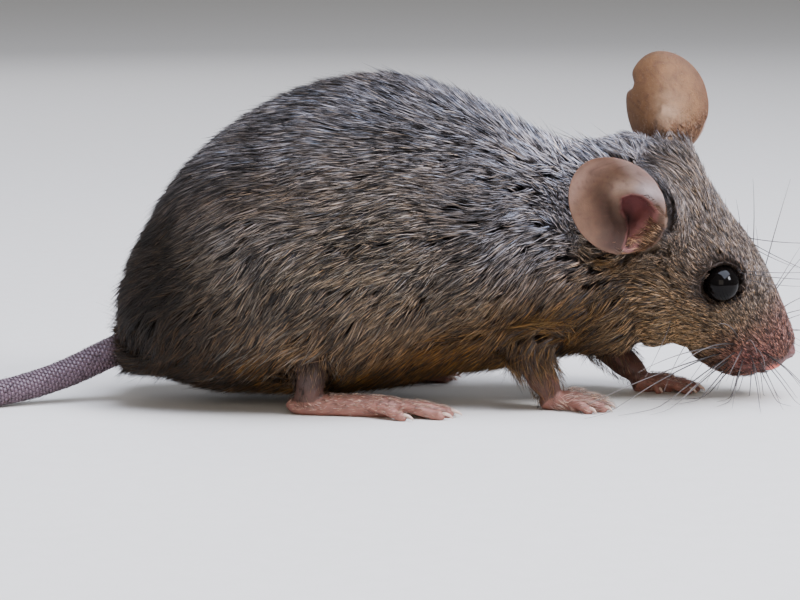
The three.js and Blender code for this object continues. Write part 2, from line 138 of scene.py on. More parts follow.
FORE = {
    "heel": {LEFT: (28.2, 5.4), RIGHT: (17.0, 6.6)},
    "toe_out": {LEFT: 2, RIGHT: 12},
    "sole": 2.9,
    "sole_radius": (1.25, 1.4),
    "digits": [
        (0.9, -1.2, -45, 1.0, 0.46),
        (2.3, -1.1, -24, 3.1, 0.52),
        (2.7, -0.4, -7, 3.6, 0.55),
        (2.7, 0.4, 9, 3.5, 0.55),
        (2.2, 1.1, 27, 2.8, 0.52),
    ],
    "claw": 0.9,
    "joint": (0.2, 0.0, 1.3),
    "above": {LEFT: (-7.0, 2.8, 8.6), RIGHT: (-2.7, 1.1, 9.4)},
    "leg_radius": (1.2, 1.25, 1.4),
}
FLESH = ("trunk", "neck", "head", "lower_jaw", "nose") + tuple(
    f"{part}_{side}"
    for part in ("upper_arm", "forearm", "haunch", "shank")
    for side in ("left", "right")
)
FEET = tuple(f"{part}_{side}" for part in ("fore_foot", "hind_foot") for side in ("left", "right"))
EARS = ("ear_left", "ear_right")
TAIL = ("tail_1", "tail_2", "tail_3", "tail_4")

# Coat by part of the body: depth over the skin, hair length, hair width, tufts to a square mm and
# tufts to a lock.
COAT = {
    "trunk": (2.4, 4.4, 0.14, 30.0, 13),
    "haunch": (2.2, 4.2, 0.14, 30.0, 13),
    "neck": (2.0, 3.9, 0.13, 33.0, 12),
    "head": (1.0, 2.4, 0.11, 28.0, 9),
    "lower_jaw": (0.4, 1.5, 0.08, 60.0, 8),
    "nose": (0.0, 0.5, 0.04, 40.0, 5),
    "ear": (0.0, 0.55, 0.03, 7.0, 4),
    "upper_arm": (1.7, 3.4, 0.13, 31.0, 11),
    "forearm": (0.35, 1.5, 0.055, 46.0, 8),
    "fore_foot": (0.02, 0.7, 0.035, 22.0, 4),
    "shank": (0.4, 1.6, 0.055, 46.0, 8),
    "hind_foot": (0.02, 0.8, 0.035, 22.0, 4),
    "tail": (0.0, 0.9, 0.035, 5.0, 3),
}


# ---- Small tools ----
def linear(code):
    """An sRGB hex colour as linear red, green and blue."""
    part = [int(code[i : i + 2], 16) / 255 for i in (1, 3, 5)]
    return [c / 12.92 if c <= 0.04045 else ((c + 0.055) / 1.055) ** 2.4 for c in part]


def shade(code):
    return np.array(linear(code))


def unit(v):
    return v / np.maximum(np.linalg.norm(v, axis=-1, keepdims=True), 1e-9)


def ramp(x, low, high):
    """0 below low, 1 above high, smooth between. low may be the greater."""
    t = np.clip((x - low) / (high - low), 0, 1)
    return t * t * (3 - 2 * t)


def mix(a, b, t):
    """From a to b by t. Colours take one t for all three of their numbers."""
    t = np.asarray(t)
    colours = 3 in (np.shape(a)[-1:] + np.shape(b)[-1:])
    return a + (b - a) * (t[..., None] if colours else t)


def painted(tone, *layers):
    """A colour with others laid over it in turn: each layer is a colour and its share."""
    for colour, share in layers:
        tone = mix(tone, shade(colour) if isinstance(colour, str) else np.array(colour), share)
    return tone


def bell(x, middle, reach):
    """1 at the middle and 0 well beyond the reach, as a bell."""
    return np.exp(-(((x - middle) / reach) ** 2))


def noise(at, seed):
    """Smooth noise from 0 to 1 at points counted in cells."""
    base = np.floor(at).astype(np.int64)
    part = at - base
    part = part * part * (3 - 2 * part)
    total = 0
    for corner in np.ndindex(2, 2, 2):
        cell = base + corner
        # Large primes scatter the cells, and shifts and a product stir their bits.
        mixed = (cell[:, 0] * 73856093) ^ (cell[:, 1] * 19349663) ^ (cell[:, 2] * 83492791)
        mixed ^= seed * 2654435761
        mixed = ((mixed ^ (mixed >> 13)) * 1274126177) & 0xFFFFFFFF
        value = ((mixed ^ (mixed >> 16)) & 0xFFFF) / 0xFFFF
        weight = np.prod(np.where(np.array(corner), part, 1 - part), axis=1)
        total = total + value * weight
    return total


def turn_matrix(axis, degrees):
    angle = math.radians(degrees)
    c, s = math.cos(angle), math.sin(angle)
    return {
        "x": np.array([[1, 0, 0], [0, c, -s], [0, s, c]]),
        "y": np.array([[c, 0, s], [0, 1, 0], [-s, 0, c]]),
        "z": np.array([[c, -s, 0], [s, c, 0], [0, 0, 1]]),
    }[axis]


HEAD_AXES = (
    turn_matrix("z", HEAD_TURN["yaw"])
    @ turn_matrix("y", HEAD_TURN["pitch"])
    @ turn_matrix("x", HEAD_TURN["roll"])
)


def in_head(points):
    return (points - HEAD_AT) @ HEAD_AXES


def from_head(points):
    return np.asarray(points) @ HEAD_AXES.T + HEAD_AT


def from_eye(head, side):
    """How far points in the head's frame are from the middle of an eyeball."""
    return np.linalg.norm(head - EYE_AT * [1, side, 1], axis=1)


def curve(points, count):
    """Points evenly by parameter along a smooth curve through these."""
    points = np.asarray(points, float)
    ends = np.vstack([2 * points[0] - points[1], points, 2 * points[-1] - points[-2]])
    t = np.linspace(0, len(points) - 1, count)
    k = np.minimum(t.astype(int), len(points) - 2)
    f = (t - k)[:, None]
    a, b, c, d = (ends[k + i] for i in range(4))
    bend, twist = 2 * a - 5 * b + 4 * c - d, 3 * b - 3 * c + d - a
    return 0.5 * (2 * b + (c - a) * f + bend * f**2 + twist * f**3)


def turns(count):
    """Angles evenly round a circle."""
    return np.arange(count) * 2 * math.pi / count


def tube(path, radii, around, squash=1.0):
    """A closed round tube along a path, pointed at both ends. radii hold its half width at each point."""
    tangent = unit(np.gradient(path, axis=0))
    side = unit(np.cross([0.0, 0.0, 1.0], tangent))
    rise = np.cross(tangent, side)
    turn = turns(around)[None, :, None]
    ring = side[:, None] * np.cos(turn) + rise[:, None] * np.sin(turn) * squash
    rows = path[1:-1, None] + ring[1:-1] * np.asarray(radii)[1:-1, None, None]
    return poled_grid(rows, path[0], path[-1])


def poled_grid(rows, first, last):
    """Rings of points closed by a pole at each end, as a mesh of triangles with its faces outward."""
    count, around = rows.shape[:2]
    points = np.vstack([rows.reshape(-1, 3), first, last])
    faces = []
    i = np.arange(around)
    j = (i + 1) % around
    for row in range(count - 1):
        a, b = row * around, (row + 1) * around
        faces += [np.stack([a + i, a + j, b + j], 1), np.stack([a + i, b + j, b + i], 1)]
    end = (count - 1) * around
    faces += [np.stack([j, i, np.full(around, count * around)], 1)]
    faces += [np.stack([end + i, end + j, np.full(around, count * around + 1)], 1)]
    faces = np.vstack(faces)
    if volume(points, faces) < 0:
        faces = faces[:, ::-1]
    return points, faces


def volume(points, faces):
    a, b, c = (points[faces[:, k]] for k in range(3))
    return float(np.einsum("ij,ij->i", a, np.cross(b, c)).sum())


def joined(shapes):
    points, faces, start = [], [], 0
    for p, f in shapes:
        points.append(p)
        faces.append(f + start)
        start += len(p)
    return np.vstack(points), np.vstack(faces)


def corner_normals(points, faces):
    across = np.cross(points[faces[:, 1]] - points[faces[:, 0]], points[faces[:, 2]] - points[faces[:, 0]])
    total = np.zeros_like(points)
    for k in range(3):
        for a in range(3):
            total[:, a] += np.bincount(faces[:, k], across[:, a], len(points))
    return unit(total)


def edges_of(faces):
    pairs = np.sort(np.vstack([faces[:, [0, 1]], faces[:, [1, 2]], faces[:, [2, 0]]]), axis=1)
    return np.unique(pairs, axis=0)


def averaged(values, edges, times, share=0.5):
    """Values at vertices, drawn towards their neighbours' mean. share may differ from vertex to vertex."""
    values = np.array(values, float).reshape(len(values), -1)
    count = len(values)
    degree = np.maximum(np.bincount(edges.ravel(), minlength=count), 1)
    share = np.broadcast_to(share, count)[:, None]
    for _ in range(times):
        mean = np.empty_like(values)
        for a in range(values.shape[1]):
            column = values[:, a]
            mean[:, a] = np.bincount(edges[:, 0], column[edges[:, 1]], count)
            mean[:, a] += np.bincount(edges[:, 1], column[edges[:, 0]], count)
        values += share * (mean / degree[:, None] - values)
    return values


def smoothed(points, faces, times, share=1.0):
    """Points evened out without shrinking: each pass draws in and then pushes a little further out."""
    edges = edges_of(faces)
    for _ in range(times):
        points = averaged(points, edges, 1, 0.5 * share)
        points = averaged(points, edges, 1, -0.53 * share)
    return points


def mesh_of(name, points, faces, soft=True):
    """A Blender mesh from arrays of points and triangles."""
    mesh = bpy.data.meshes.new(name)
    mesh.vertices.add(len(points))
    mesh.vertices.foreach_set("co", np.asarray(points, np.float32).ravel())
    mesh.loops.add(faces.size)
    mesh.loops.foreach_set("vertex_index", np.asarray(faces, np.int32).ravel())
    mesh.polygons.add(len(faces))
    mesh.polygons.foreach_set("loop_start", np.arange(0, faces.size, 3, dtype=np.int32))
    mesh.polygons.foreach_set("use_smooth", np.full(len(faces), soft))
    mesh.update(calc_edges=True)
    return mesh


def arrays_of(mesh):
    points = np.empty(len(mesh.vertices) * 3, np.float32)
    mesh.vertices.foreach_get("co", points)
    mesh.calc_loop_triangles()
    faces = np.empty(len(mesh.loop_triangles) * 3, np.int32)
    mesh.loop_triangles.foreach_get("vertices", faces)
    return points.reshape(-1, 3).astype(float), faces.reshape(-1, 3).astype(np.int64)


def put(name, mesh):
    piece = bpy.data.objects.new(name, mesh)
    bpy.context.scene.collection.objects.link(piece)
    return piece


def evaluated(piece):
    """A new mesh of a piece as its modifier leaves it. The piece itself is taken away."""
    graph = bpy.context.evaluated_depsgraph_get()
    mesh = bpy.data.meshes.new_from_object(piece.evaluated_get(graph))
    discard(piece)
    return mesh


def discard(piece):
    mesh = piece.data
    bpy.data.objects.remove(piece)
    bpy.data.meshes.remove(mesh)


def modified(shape, kind, weights=None, **settings):
    """A shape after one modifier, as arrays. Weights are how much it counts at each point."""
    piece = put("work", mesh_of("work", *shape))
    modifier = piece.modifiers.new("work", kind)
    if weights is not None:
        group = piece.vertex_groups.new(name="weights")
        for level in np.unique(weights):
            group.add(np.nonzero(weights == level)[0].tolist(), float(level), "REPLACE")
        modifier.vertex_group = group.name
    for key, value in settings.items():
        setattr(modifier, key, value)
    result = evaluated(piece)
    shape = arrays_of(result)
    bpy.data.meshes.remove(result)
    return shape


def united(shape, other):
    """Two closed shapes joined by a Boolean."""
    second = put("second", mesh_of("second", *other))
    result = modified(shape, "BOOLEAN", operation="UNION", solver="MANIFOLD", object=second)
    discard(second)
    if abs(volume(*result)) < 0.9 * abs(volume(*shape)):
        raise RuntimeError("a Boolean lost part of the skin")
    return result


def node_shape(name, grow):
    """A CAD node's surface in the mouse's own frame, merged and grown by a little."""
    points, faces = arrays_of(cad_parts[name].data)
    points = points / MM - ORIGIN
    cells = np.round(points / SAME_POINT).astype(np.int64)
    _, first, where = np.unique(cells, axis=0, return_index=True, return_inverse=True)
    points, faces = points[first], where.reshape(-1)[faces]
    a, b, c = faces.T
    faces = faces[(a != b) & (b != c) & (a != c)]
    return points + corner_normals(points, faces) * grow, faces


def finish_piece(name, points, faces, material, replaced=()):
    """Puts a piece in place in metres and ties it to the frame."""
    piece = put(name, mesh_of(name, (np.asarray(points) + ORIGIN) * MM, faces))
    piece.data.materials.append(material)
    tie(piece, replaced)
    return piece


def tie(piece, replaced=()):
    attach(piece, "root")
    if replaced:
        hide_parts(*replaced)


def hold(mesh, name, kind, values):
    """Keeps values at the points of a mesh under a name: numbers, vectors or colours."""
    key = {"FLOAT": "value", "FLOAT_VECTOR": "vector", "FLOAT_COLOR": "color"}[kind]
    if kind == "FLOAT_COLOR":
        values = np.insert(values, 3, 1, axis=1)
    mesh.attributes.new(name, kind, "POINT").data.foreach_set(key, np.asarray(values, np.float32).ravel())


def add_node(tree, kind, settings=None, **inputs):
    """Adds a node with its settings. An input is a value, or a socket of another node to link from."""
    node = tree.nodes.new(kind)
    for key, value in (settings or {}).items():
        setattr(node, key, value)
    for key, value in inputs.items():
        socket = node.inputs[int(key[1:]) if key[0] == "_" and key[1:].isdigit() else key.replace("_", " ")]
        if isinstance(value, bpy.types.NodeSocket):
            tree.links.new(value, socket)
        else:
            socket.default_value = value
    return node


def new_material(name):
    material = bpy.data.materials.new(name)
    material.use_nodes = True
    material.node_tree.nodes.clear()
    return material, material.node_tree


def with_surface(tree, **inputs):
    shader = add_node(tree, "ShaderNodeBsdfPrincipled", None, **inputs)
    add_node(tree, "ShaderNodeOutputMaterial", None, Surface=shader.outputs[0])
    return shader


# ---- Finishes ----
def tinted_by(tree, name, level):
    """The colours that a piece's corners hold under a name, scaled by a level."""
    tint = add_node(tree, "ShaderNodeAttribute", {"attribute_name": name})
    scaled = add_node(
        tree, "ShaderNodeVectorMath", {"operation": "SCALE"}, _0=tint.outputs["Color"], Scale=level.outputs[0]
    )
    return scaled.outputs[0]


def patchy(tree, scale, detail, code, colour):
    """Two colours that run into each other in soft patches 1 / scale metres wide, fixed to the piece."""
    place = add_node(tree, "ShaderNodeTexCoord")
    patch = add_node(
        tree, "ShaderNodeTexNoise", None, Vector=place.outputs["Object"], Scale=scale, Detail=detail
    )
    tone = add_node(tree, "ShaderNodeMix", {"data_type": "RGBA"}, _0=patch.outputs[0])
    tone.inputs[6].default_value = (*linear(code), 1)
    tone.inputs[7].default_value = (*colour, 1)
    return tone.outputs[2]


def hair_material(name, roughness):
    """Keratin hair, grown and groomed: a dull gloss, darker where hairs shade each other."""
    material, tree = new_material(name)
    # Each hair is shaded a little along its length, as its pigment lies in bands 0.4 mm long.
    place = add_node(tree, "ShaderNodeTexCoord")
    grain = add_node(
        tree, "ShaderNodeTexNoise", None, Vector=place.outputs["Object"], Scale=2600.0, Detail=1.0
    )
    depth = add_node(tree, "ShaderNodeMapRange", None, Value=grain.outputs[0], _3=0.78, _4=1.2)
    tinted = tinted_by(tree, "Hair", depth)
    with_surface(tree, Base_Color=tinted, Roughness=roughness, Specular_IOR_Level=0.32, IOR=1.55)
    return material


def skin_material():
    """Living skin: pink where thin and bare, pigmented under the coat, with pores and fine creases."""
    material, tree = new_material("bare mouse skin")
    place = add_node(tree, "ShaderNodeTexCoord").outputs["Object"]
    # Blood shows through in blotches about 1 mm across.
    blotch = add_node(tree, "ShaderNodeTexNoise", None, Vector=place, Scale=900.0, Detail=3.0, Roughness=0.6)
    level = add_node(
        tree, "ShaderNodeMapRange", None, Value=blotch.outputs[0], _1=0.3, _2=0.7, _3=0.82, _4=1.14
    )
    tinted = tinted_by(tree, "Skin", level)
    # Skin cells and pores, 0.25 mm apart.
    cells = add_node(
        tree, "ShaderNodeTexVoronoi", {"feature": "DISTANCE_TO_EDGE"}, Vector=place, Scale=3800.0
    )
    fine = add_node(tree, "ShaderNodeTexNoise", None, Vector=place, Scale=3000.0, Detail=4.0)
    height = add_node(
        tree, "ShaderNodeMath", {"operation": "MULTIPLY_ADD"}, _0=cells.outputs[0], _1=0.6, _2=fine.outputs[0]
    )
    relief = add_node(tree, "ShaderNodeBump", None, Strength=0.35, Distance=0.0001, Height=height.outputs[0])
    dull = add_node(tree, "ShaderNodeAttribute", {"attribute_name": "Dullness"})
    with_surface(
        tree, Base_Color=tinted, Roughness=dull.outputs["Fac"], Specular_IOR_Level=0.45,
        Subsurface_Weight=0.12, Subsurface_Scale=0.0008, Subsurface_Radius=(1.0, 0.4, 0.25),
        Normal=relief.outputs[0],
    )
    return material


def eye_material(colour):
    """Wet cornea over a black iris and pupil: near black, with a mirror gloss."""
    material, tree = new_material("wet black eye")
    tone = patchy(tree, 700.0, 2.0, "#050404", colour)  # the iris clouds over 1.4 mm
    with_surface(tree, Base_Color=tone, Roughness=0.03, Specular_IOR_Level=0.17, IOR=1.376)
    return material


def claw_material(colour):
    """Horn: thin, pale and slightly see-through, with pinker patches."""
    material, tree = new_material("horn claw")
    tone = patchy(tree, 2500.0, 2.0, "#b98f7c", colour)  # growth lines 0.4 mm apart
    with_surface(
        tree, Base_Color=tone, Roughness=0.32, IOR=1.54, Subsurface_Weight=0.1, Subsurface_Scale=0.0004
    )
    return material


def scale_material(colour):
    """Horny tail scales over lilac skin: dry, faintly glossy, darker between the rings."""
    material, tree = new_material("tail scale")
    tone = patchy(tree, 1400.0, 3.0, "#4a3b44", colour)  # patches about two scales wide
    with_surface(tree, Base_Color=tone, Roughness=0.42, IOR=1.5, Specular_IOR_Level=0.5)
    return material


def floor_material(colour):
    """Matt painted board: pale and even, with a trace of roller texture."""
    material, tree = new_material("matt painted board")
    tone = patchy(tree, 400.0, 3.0, "#cfcac2", colour)  # the roller's stipple, 2.5 mm apart
    with_surface(tree, Base_Color=tone, Roughness=0.8)
    return material


# ---- Skin ----
def ear_frame(side):
    """The ear's origin and axes: p to its front edge, q up it and f out of the cup."""
    mirror = np.array([1, side, 1])
    facing = unit(np.array(EAR["facing"][side]) * mirror)
    up = np.array(EAR["up"][side]) * mirror
    up = unit(up - facing * (up @ facing))
    axes = np.stack([np.cross(facing, up) * side, up, facing], 1)
    return from_head(np.array(EAR["root"][side]) * mirror), HEAD_AXES @ axes


def in_ear(points, side):
    origin, axes = ear_frame(side)
    return (points - origin) @ axes


def ear_surface(rho, turn):
    """The middle of the ear's wall. rho runs from the deepest point to the rim, and turn goes round it."""
    centre, radii, bowl = EAR["centre"], EAR["radii"], EAR["bowl"]
    p = bowl[0] + (centre[0] + radii[0] * np.sin(turn) - bowl[0]) * rho
    q = bowl[1] + (centre[1] + radii[1] * np.cos(turn) - bowl[1]) * rho
    across = np.sin(turn)
    swing = (np.sqrt(across**2 + 0.15) - math.sqrt(0.15)) / (math.sqrt(1.15) - math.sqrt(0.15))
    curl = swing * mix(EAR["rear_curl"], EAR["front_curl"], ramp(across, -0.5, 0.5))
    return p, q, curl * rho**2 - EAR["depth"] * (1 - rho**1.5)


def concha_edge(p, q):
    """How far outside the ear's dark inner hollow a point is, in mm. It is below 0 inside."""
    p, q = np.broadcast_arrays(np.asarray(p, float), q)
    corners = np.array(CONCHA["edge"])
    gap, inside = np.full(p.shape, np.inf), np.zeros(p.shape, bool)
    for (p0, q0), (p1, q1) in zip(corners, np.roll(corners, -1, axis=0)):
        dp, dq = p1 - p0, q1 - q0
        t = np.clip(((p - p0) * dp + (q - q0) * dq) / (dp * dp + dq * dq), 0, 1)
        gap = np.minimum(gap, np.hypot(p - p0 - dp * t, q - q0 - dq * t))
        inside ^= ((q0 > q) != (q1 > q)) & (p < p0 + dp * (q - q0) / (dq if dq else 1e-9))
    return np.where(inside, -gap, gap)


def ear_relief(p, q):
    """The hollow, the fold behind it and the low ridges that fan out over the blade, along f."""
    gap = concha_edge(p, q)
    behind = ramp(p, 1.6, 0.2)
    hollow = -CONCHA["depth"] * ramp(gap, 0.12, -0.55)
    fold = 0.42 * bell(gap, 0.45, 0.4) * (0.3 + 0.7 * behind)
    outer = 0.22 * bell(gap, 1.9, 0.5) * ramp(q, 2.0, 4.5)
    fan = np.arctan2(p - 0.4, q - 2.6)
    ribs = 0.05 * np.cos(11 * fan + 0.6) * ramp(gap, 0.8, 2.2)
    return hollow + fold + outer + ribs


def ear_shape(side):
    """A thin cup with a rolled rim, a tragus fold and ridges inside."""
    origin, axes = ear_frame(side)
    turn = turns(EAR_GRID["around"])
    rho_in = np.sin(np.linspace(0, math.pi / 2, EAR_GRID["out"]))[1:]
    rows = []
    for rho, face in [(r, 1) for r in rho_in] + [(r, -1) for r in rho_in[-2::-1]]:
        p, q, f = ear_surface(rho, turn)
        thick = (EAR["wall"] - 0.12 * rho**2) * math.sqrt(max(0.0, 1 - rho**12))
        relief = ear_relief(p, q) * (1 - rho**6) * (1.0 if face > 0 else EAR["relief_behind"])
        rows.append(np.stack([p, q, f + relief + face * thick], 1))
    rows = np.array(rows)
    if side == LEFT:  # the old tear in the rear edge
        away = rows[:, :, :2] - EAR_NICK["at"]
        gap = np.linalg.norm(away, axis=2, keepdims=True)
        inward = unit(np.array(EAR["centre"]) - np.array(EAR_NICK["at"]))
        rows[:, :, :2] += inward * bell(gap, 0, EAR_NICK["radius"]) * EAR_NICK["depth"]
    relief = float(ear_relief(*EAR["bowl"]))
    poles = [
        (*EAR["bowl"], relief * share - EAR["depth"] + face * EAR["wall"])
        for face, share in ((1, 1.0), (-1, EAR["relief_behind"]))
    ]
    rows = rows @ axes.T + origin
    first, last = np.array(poles) @ axes.T + origin
    return poled_grid(rows, first, last)


def ear_rim(local):
    """0 at the middle of the ear's blade and 1 at its rim."""
    centre, radii = EAR["centre"], EAR["radii"]
    return np.hypot((local[:, 0] - centre[0]) / radii[0], (local[:, 1] - centre[1]) / radii[1])


def ear_depth(local):
    """The middle of the ear's wall at each point's p and q, along f."""
    bowl, centre, radii = EAR["bowl"], EAR["centre"], EAR["radii"]
    p, q = local[:, 0] - bowl[0], local[:, 1] - bowl[1]

    def on_blade(rho):
        """Where the line from the bowl through p and q meets the rim, counted in the blade's radii."""
        return (bowl[0] + p / rho - centre[0]) / radii[0], (bowl[1] + q / rho - centre[1]) / radii[1]

    rho = np.full(len(local), 0.5)
    for _ in range(12):
        rho = rho * (0.5 + 0.5 * np.clip(np.hypot(*on_blade(rho)), 0.3, 3.0))
    turn = np.arctan2(*on_blade(rho))
    return ear_surface(np.clip(rho, 0, 1), turn)[2] + 0.72 * ear_relief(local[:, 0], local[:, 1])


def foot_place(plan, side, points):
    turn = turn_matrix("z", plan["toe_out"][side] * side)
    x, y = plan["heel"][side]
    return np.asarray(points) @ turn.T + [x, y * side, 0]


def leg_ends(plan, side):
    """The ankle and the knee, or the wrist and the elbow, in the foot's own frame."""
    return np.array(plan["joint"]), np.array(plan["above"][side]) * [1, side, 1]


def digit_line(side, digit, count):
    """The middle line of a digit, from inside the foot to its tip."""
    start, out, splay, length, radius = digit
    turn = math.radians(splay) * side

    def point(along, z):
        return (start + along * math.cos(turn), out * side + along * math.sin(turn), z)

    knuckle, pad = point(length * 0.4, radius * 1.8), point(length * 0.82, radius * 0.95)
    return curve([point(-0.9, 1.15), knuckle, pad, point(length, radius * 0.85)], count)


def rounded_ends(t, power):
    """A half width of 1 in the middle of a tube that closes at both ends. A high power keeps it full."""
    return np.sqrt(1 - np.abs(2 * t - 1) ** power)


def lump(at, radii, around=20, along=12):
    """A closed ball with three radii."""
    travel = np.linspace(0, math.pi, along + 1)[1:-1, None]
    turn = turns(around)
    out = np.sin(travel)
    ring = np.stack([np.cos(travel) + 0 * turn, out * np.cos(turn), out * np.sin(turn)], 2)
    at, radii = np.asarray(at, float), np.asarray(radii, float)
    return poled_grid(at + ring * radii, at + [radii[0], 0, 0], at - [radii[0], 0, 0])


def foot_shape(plan, side, voxel):
    """A foot: its sole, knuckled digits and the pads under them, run together."""
    heel, ball = plan["sole_radius"]
    middle, toes = plan["sole"] * 0.5, plan["sole"] + 0.9
    path = curve([(-1.5, 0, heel * 0.7), (middle, 0, ball * 0.72), (toes, 0, ball * 0.62)], 24)
    t = np.linspace(0, 1, 24)
    shapes = [tube(path, mix(heel, ball, t) * rounded_ends(t, 6), 20, 0.85)]
    for digit in plan["digits"]:
        radius = digit[4]
        line = digit_line(side, digit, DIGIT_STOPS)
        s = np.linspace(0, 1, DIGIT_STOPS)
        knuckles = 0.94 + 0.16 * bell(s, 0.45, 0.09) + 0.2 * bell(s, 0.9, 0.12)
        shapes.append(tube(line, radius * knuckles * rounded_ends(s, 8), 14))
        tip = line[-4]
        shapes.append(lump((tip[0], tip[1], radius * 0.62), (radius * 0.95, radius * 0.85, radius * 0.6)))
    # The ankle or the wrist, which runs up inside the leg.
    joint, above = leg_ends(plan, side)
    rise = curve([joint - [0.3, 0, 0.5], mix(joint, above, 0.2), mix(joint, above, 0.45)], 16)
    t = np.linspace(0, 1, 16)
    shapes.append(tube(rise, np.interp(t, [0, 0.4, 1], plan["leg_radius"]) * rounded_ends(t, 6), 20))
    for pad in (-0.9, 0.0, 0.9):
        shapes.append(lump((plan["sole"] * 0.97, pad, 0.5), (0.75, 0.55, 0.5)))
    points, faces = modified(joined(shapes), "REMESH", mode="VOXEL", voxel_size=voxel)
    points = smoothed(points, faces, 5)
    height = points[:, 2]
    points[:, 2] = np.where(height < FLAT_UNDER, np.maximum(height * 0.2, 0), height)
    return foot_place(plan, side, points), faces


def tail_path(count):
    return curve(TAIL_LINE, count)


def tail_radius(s):
    return TAIL_TIP_RADIUS + (TAIL_ROOT_RADIUS - TAIL_TIP_RADIUS) * (1 - s) ** 0.7


def tail_shape(thin):
    count = 220
    s = np.linspace(0, 1, count)
    path = tail_path(count)
    radii = (tail_radius(s) - thin) * rounded_ends(s, 60)
    path[:, 2] = np.maximum(path[:, 2], radii + TAIL_CLEAR)
    return tube(path, radii, 22)


class Finder:
    """Nearest CAD node to a point."""

    def __init__(self):
        shapes = [(name, node_shape(name, 0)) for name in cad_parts]
        points, faces = joined([shape for _, shape in shapes])
        self.kinds = sorted(COAT)
        self.kind_of_face = np.concatenate([np.full(len(f), self.kind(name)) for name, (_, f) in shapes])
        self.tree = BVHTree.FromPolygons(points.tolist(), faces.tolist())

    def kind(self, name):
        numbered = name.endswith(("_left", "_right")) or name[-1].isdigit()
        base = name.rsplit("_", 1)[0] if numbered else name
        return self.kinds.index("head" if base == "eye" else base)

    def is_kind(self, kinds, *wanted):
        return np.isin(kinds, [self.kinds.index(kind) for kind in wanted])

    def kinds_at(self, points):
        find = self.tree.find_nearest
        kinds = np.array([self.kind_of_face[find(p)[2]] for p in points.tolist()])
        for side, _ in SIDES:
            local = in_ear(points, side)
            on_ear = (ear_rim(local) < 1.06) & (np.abs(local[:, 2] - ear_depth(local)) < 0.8)
            kinds[on_ear] = self.kinds.index("ear")
        return kinds


def coat_plan(points, faces, finder, spread=24):
    """Depth, length, width, tufts to a square mm and tufts to a lock, at each vertex, in smooth changes."""
    table = np.array([COAT[kind] for kind in finder.kinds])
    kinds = finder.kinds_at(points)
    values = table[kinds]
    depth, length, width, density = range(4)
    head = in_head(points)
    on_head = finder.is_kind(kinds, "head")
    back, crown = ramp(head[:, 0], -2.0, -27.0), ramp(head[:, 0], -10.0, -30.0)
    values[on_head, depth] = (0.14 + 0.6 * back + 0.9 * crown)[on_head]
    values[on_head, length] = (1.1 + 1.3 * back + 1.1 * crown)[on_head]
    values[on_head, width] = (0.07 + 0.035 * back + 0.015 * crown)[on_head]
    values[on_head, density] = (92 - 28 * back - 20 * crown)[on_head]
    rear = ramp(points[:, 0], -26.0, -31.5) * finder.is_kind(kinds, "trunk")
    values[:, depth] *= 1 - 0.8 * rear
    values[:, length] *= 1 - 0.55 * rear
    values = averaged(values, edges_of(faces), spread)
    near_ear = by_ears(points)
    values[:, length] *= 1 - 0.6 * near_ear
    values[:, width] *= 1 - 0.35 * near_ear
    # Hair thins down the forearm and the shank, and creeps up the back of the ear.
    for limb, low, high in (("forearm", 3.6, 7.5), ("shank", 3.8, 8.0)):
        full = np.where(finder.is_kind(kinds, limb), ramp(points[:, 2], low, high), 1)
        values[:, density] *= 0.14 + 0.86 * full
        values[:, length] *= 0.6 + 0.4 * full
        values[:, depth] *= 0.4 + 0.6 * full
    for side, _ in SIDES:
        local = in_ear(points, side)
        ear = finder.is_kind(kinds, "ear") * (np.sign(head[:, 1]) == side)
        root = ear * ramp(local[:, 1], 5.5, 1.5) * (local[:, 2] < ear_depth(local))
        values += root[:, None] * [0, 0.8, 0.015, 50, 0]
        values += (ear * ear_brim(local))[:, None] * [0.5, 1.0, 0.03, 14, 0]
    return values, kinds


def ear_brim(local):
    """1 on the low edge of an ear's cup, where buff hair stands up over it."""
    low = ramp(local[:, 1], 2.1, 1.2) * ramp(local[:, 0], -2.4, -1.6) * ramp(local[:, 0], 2.3, 1.6)
    return low * ramp(ear_rim(local), 0.8, 0.88) * (local[:, 2] > ear_depth(local) - 0.05)


def by_ears(points):
    """1 on the head close round an ear, 0 a few mm away."""
    near = np.zeros(len(points))
    for side, _ in SIDES:
        local = in_ear(points, side)
        aside = np.maximum(ear_rim(local) - 1.0, 0) * 5.5
        behind = np.maximum(np.abs(local[:, 2] + 1.5) - 3.0, 0)
        near = np.maximum(near, ramp(np.hypot(aside, behind), 3.2, 0.8))
    return near


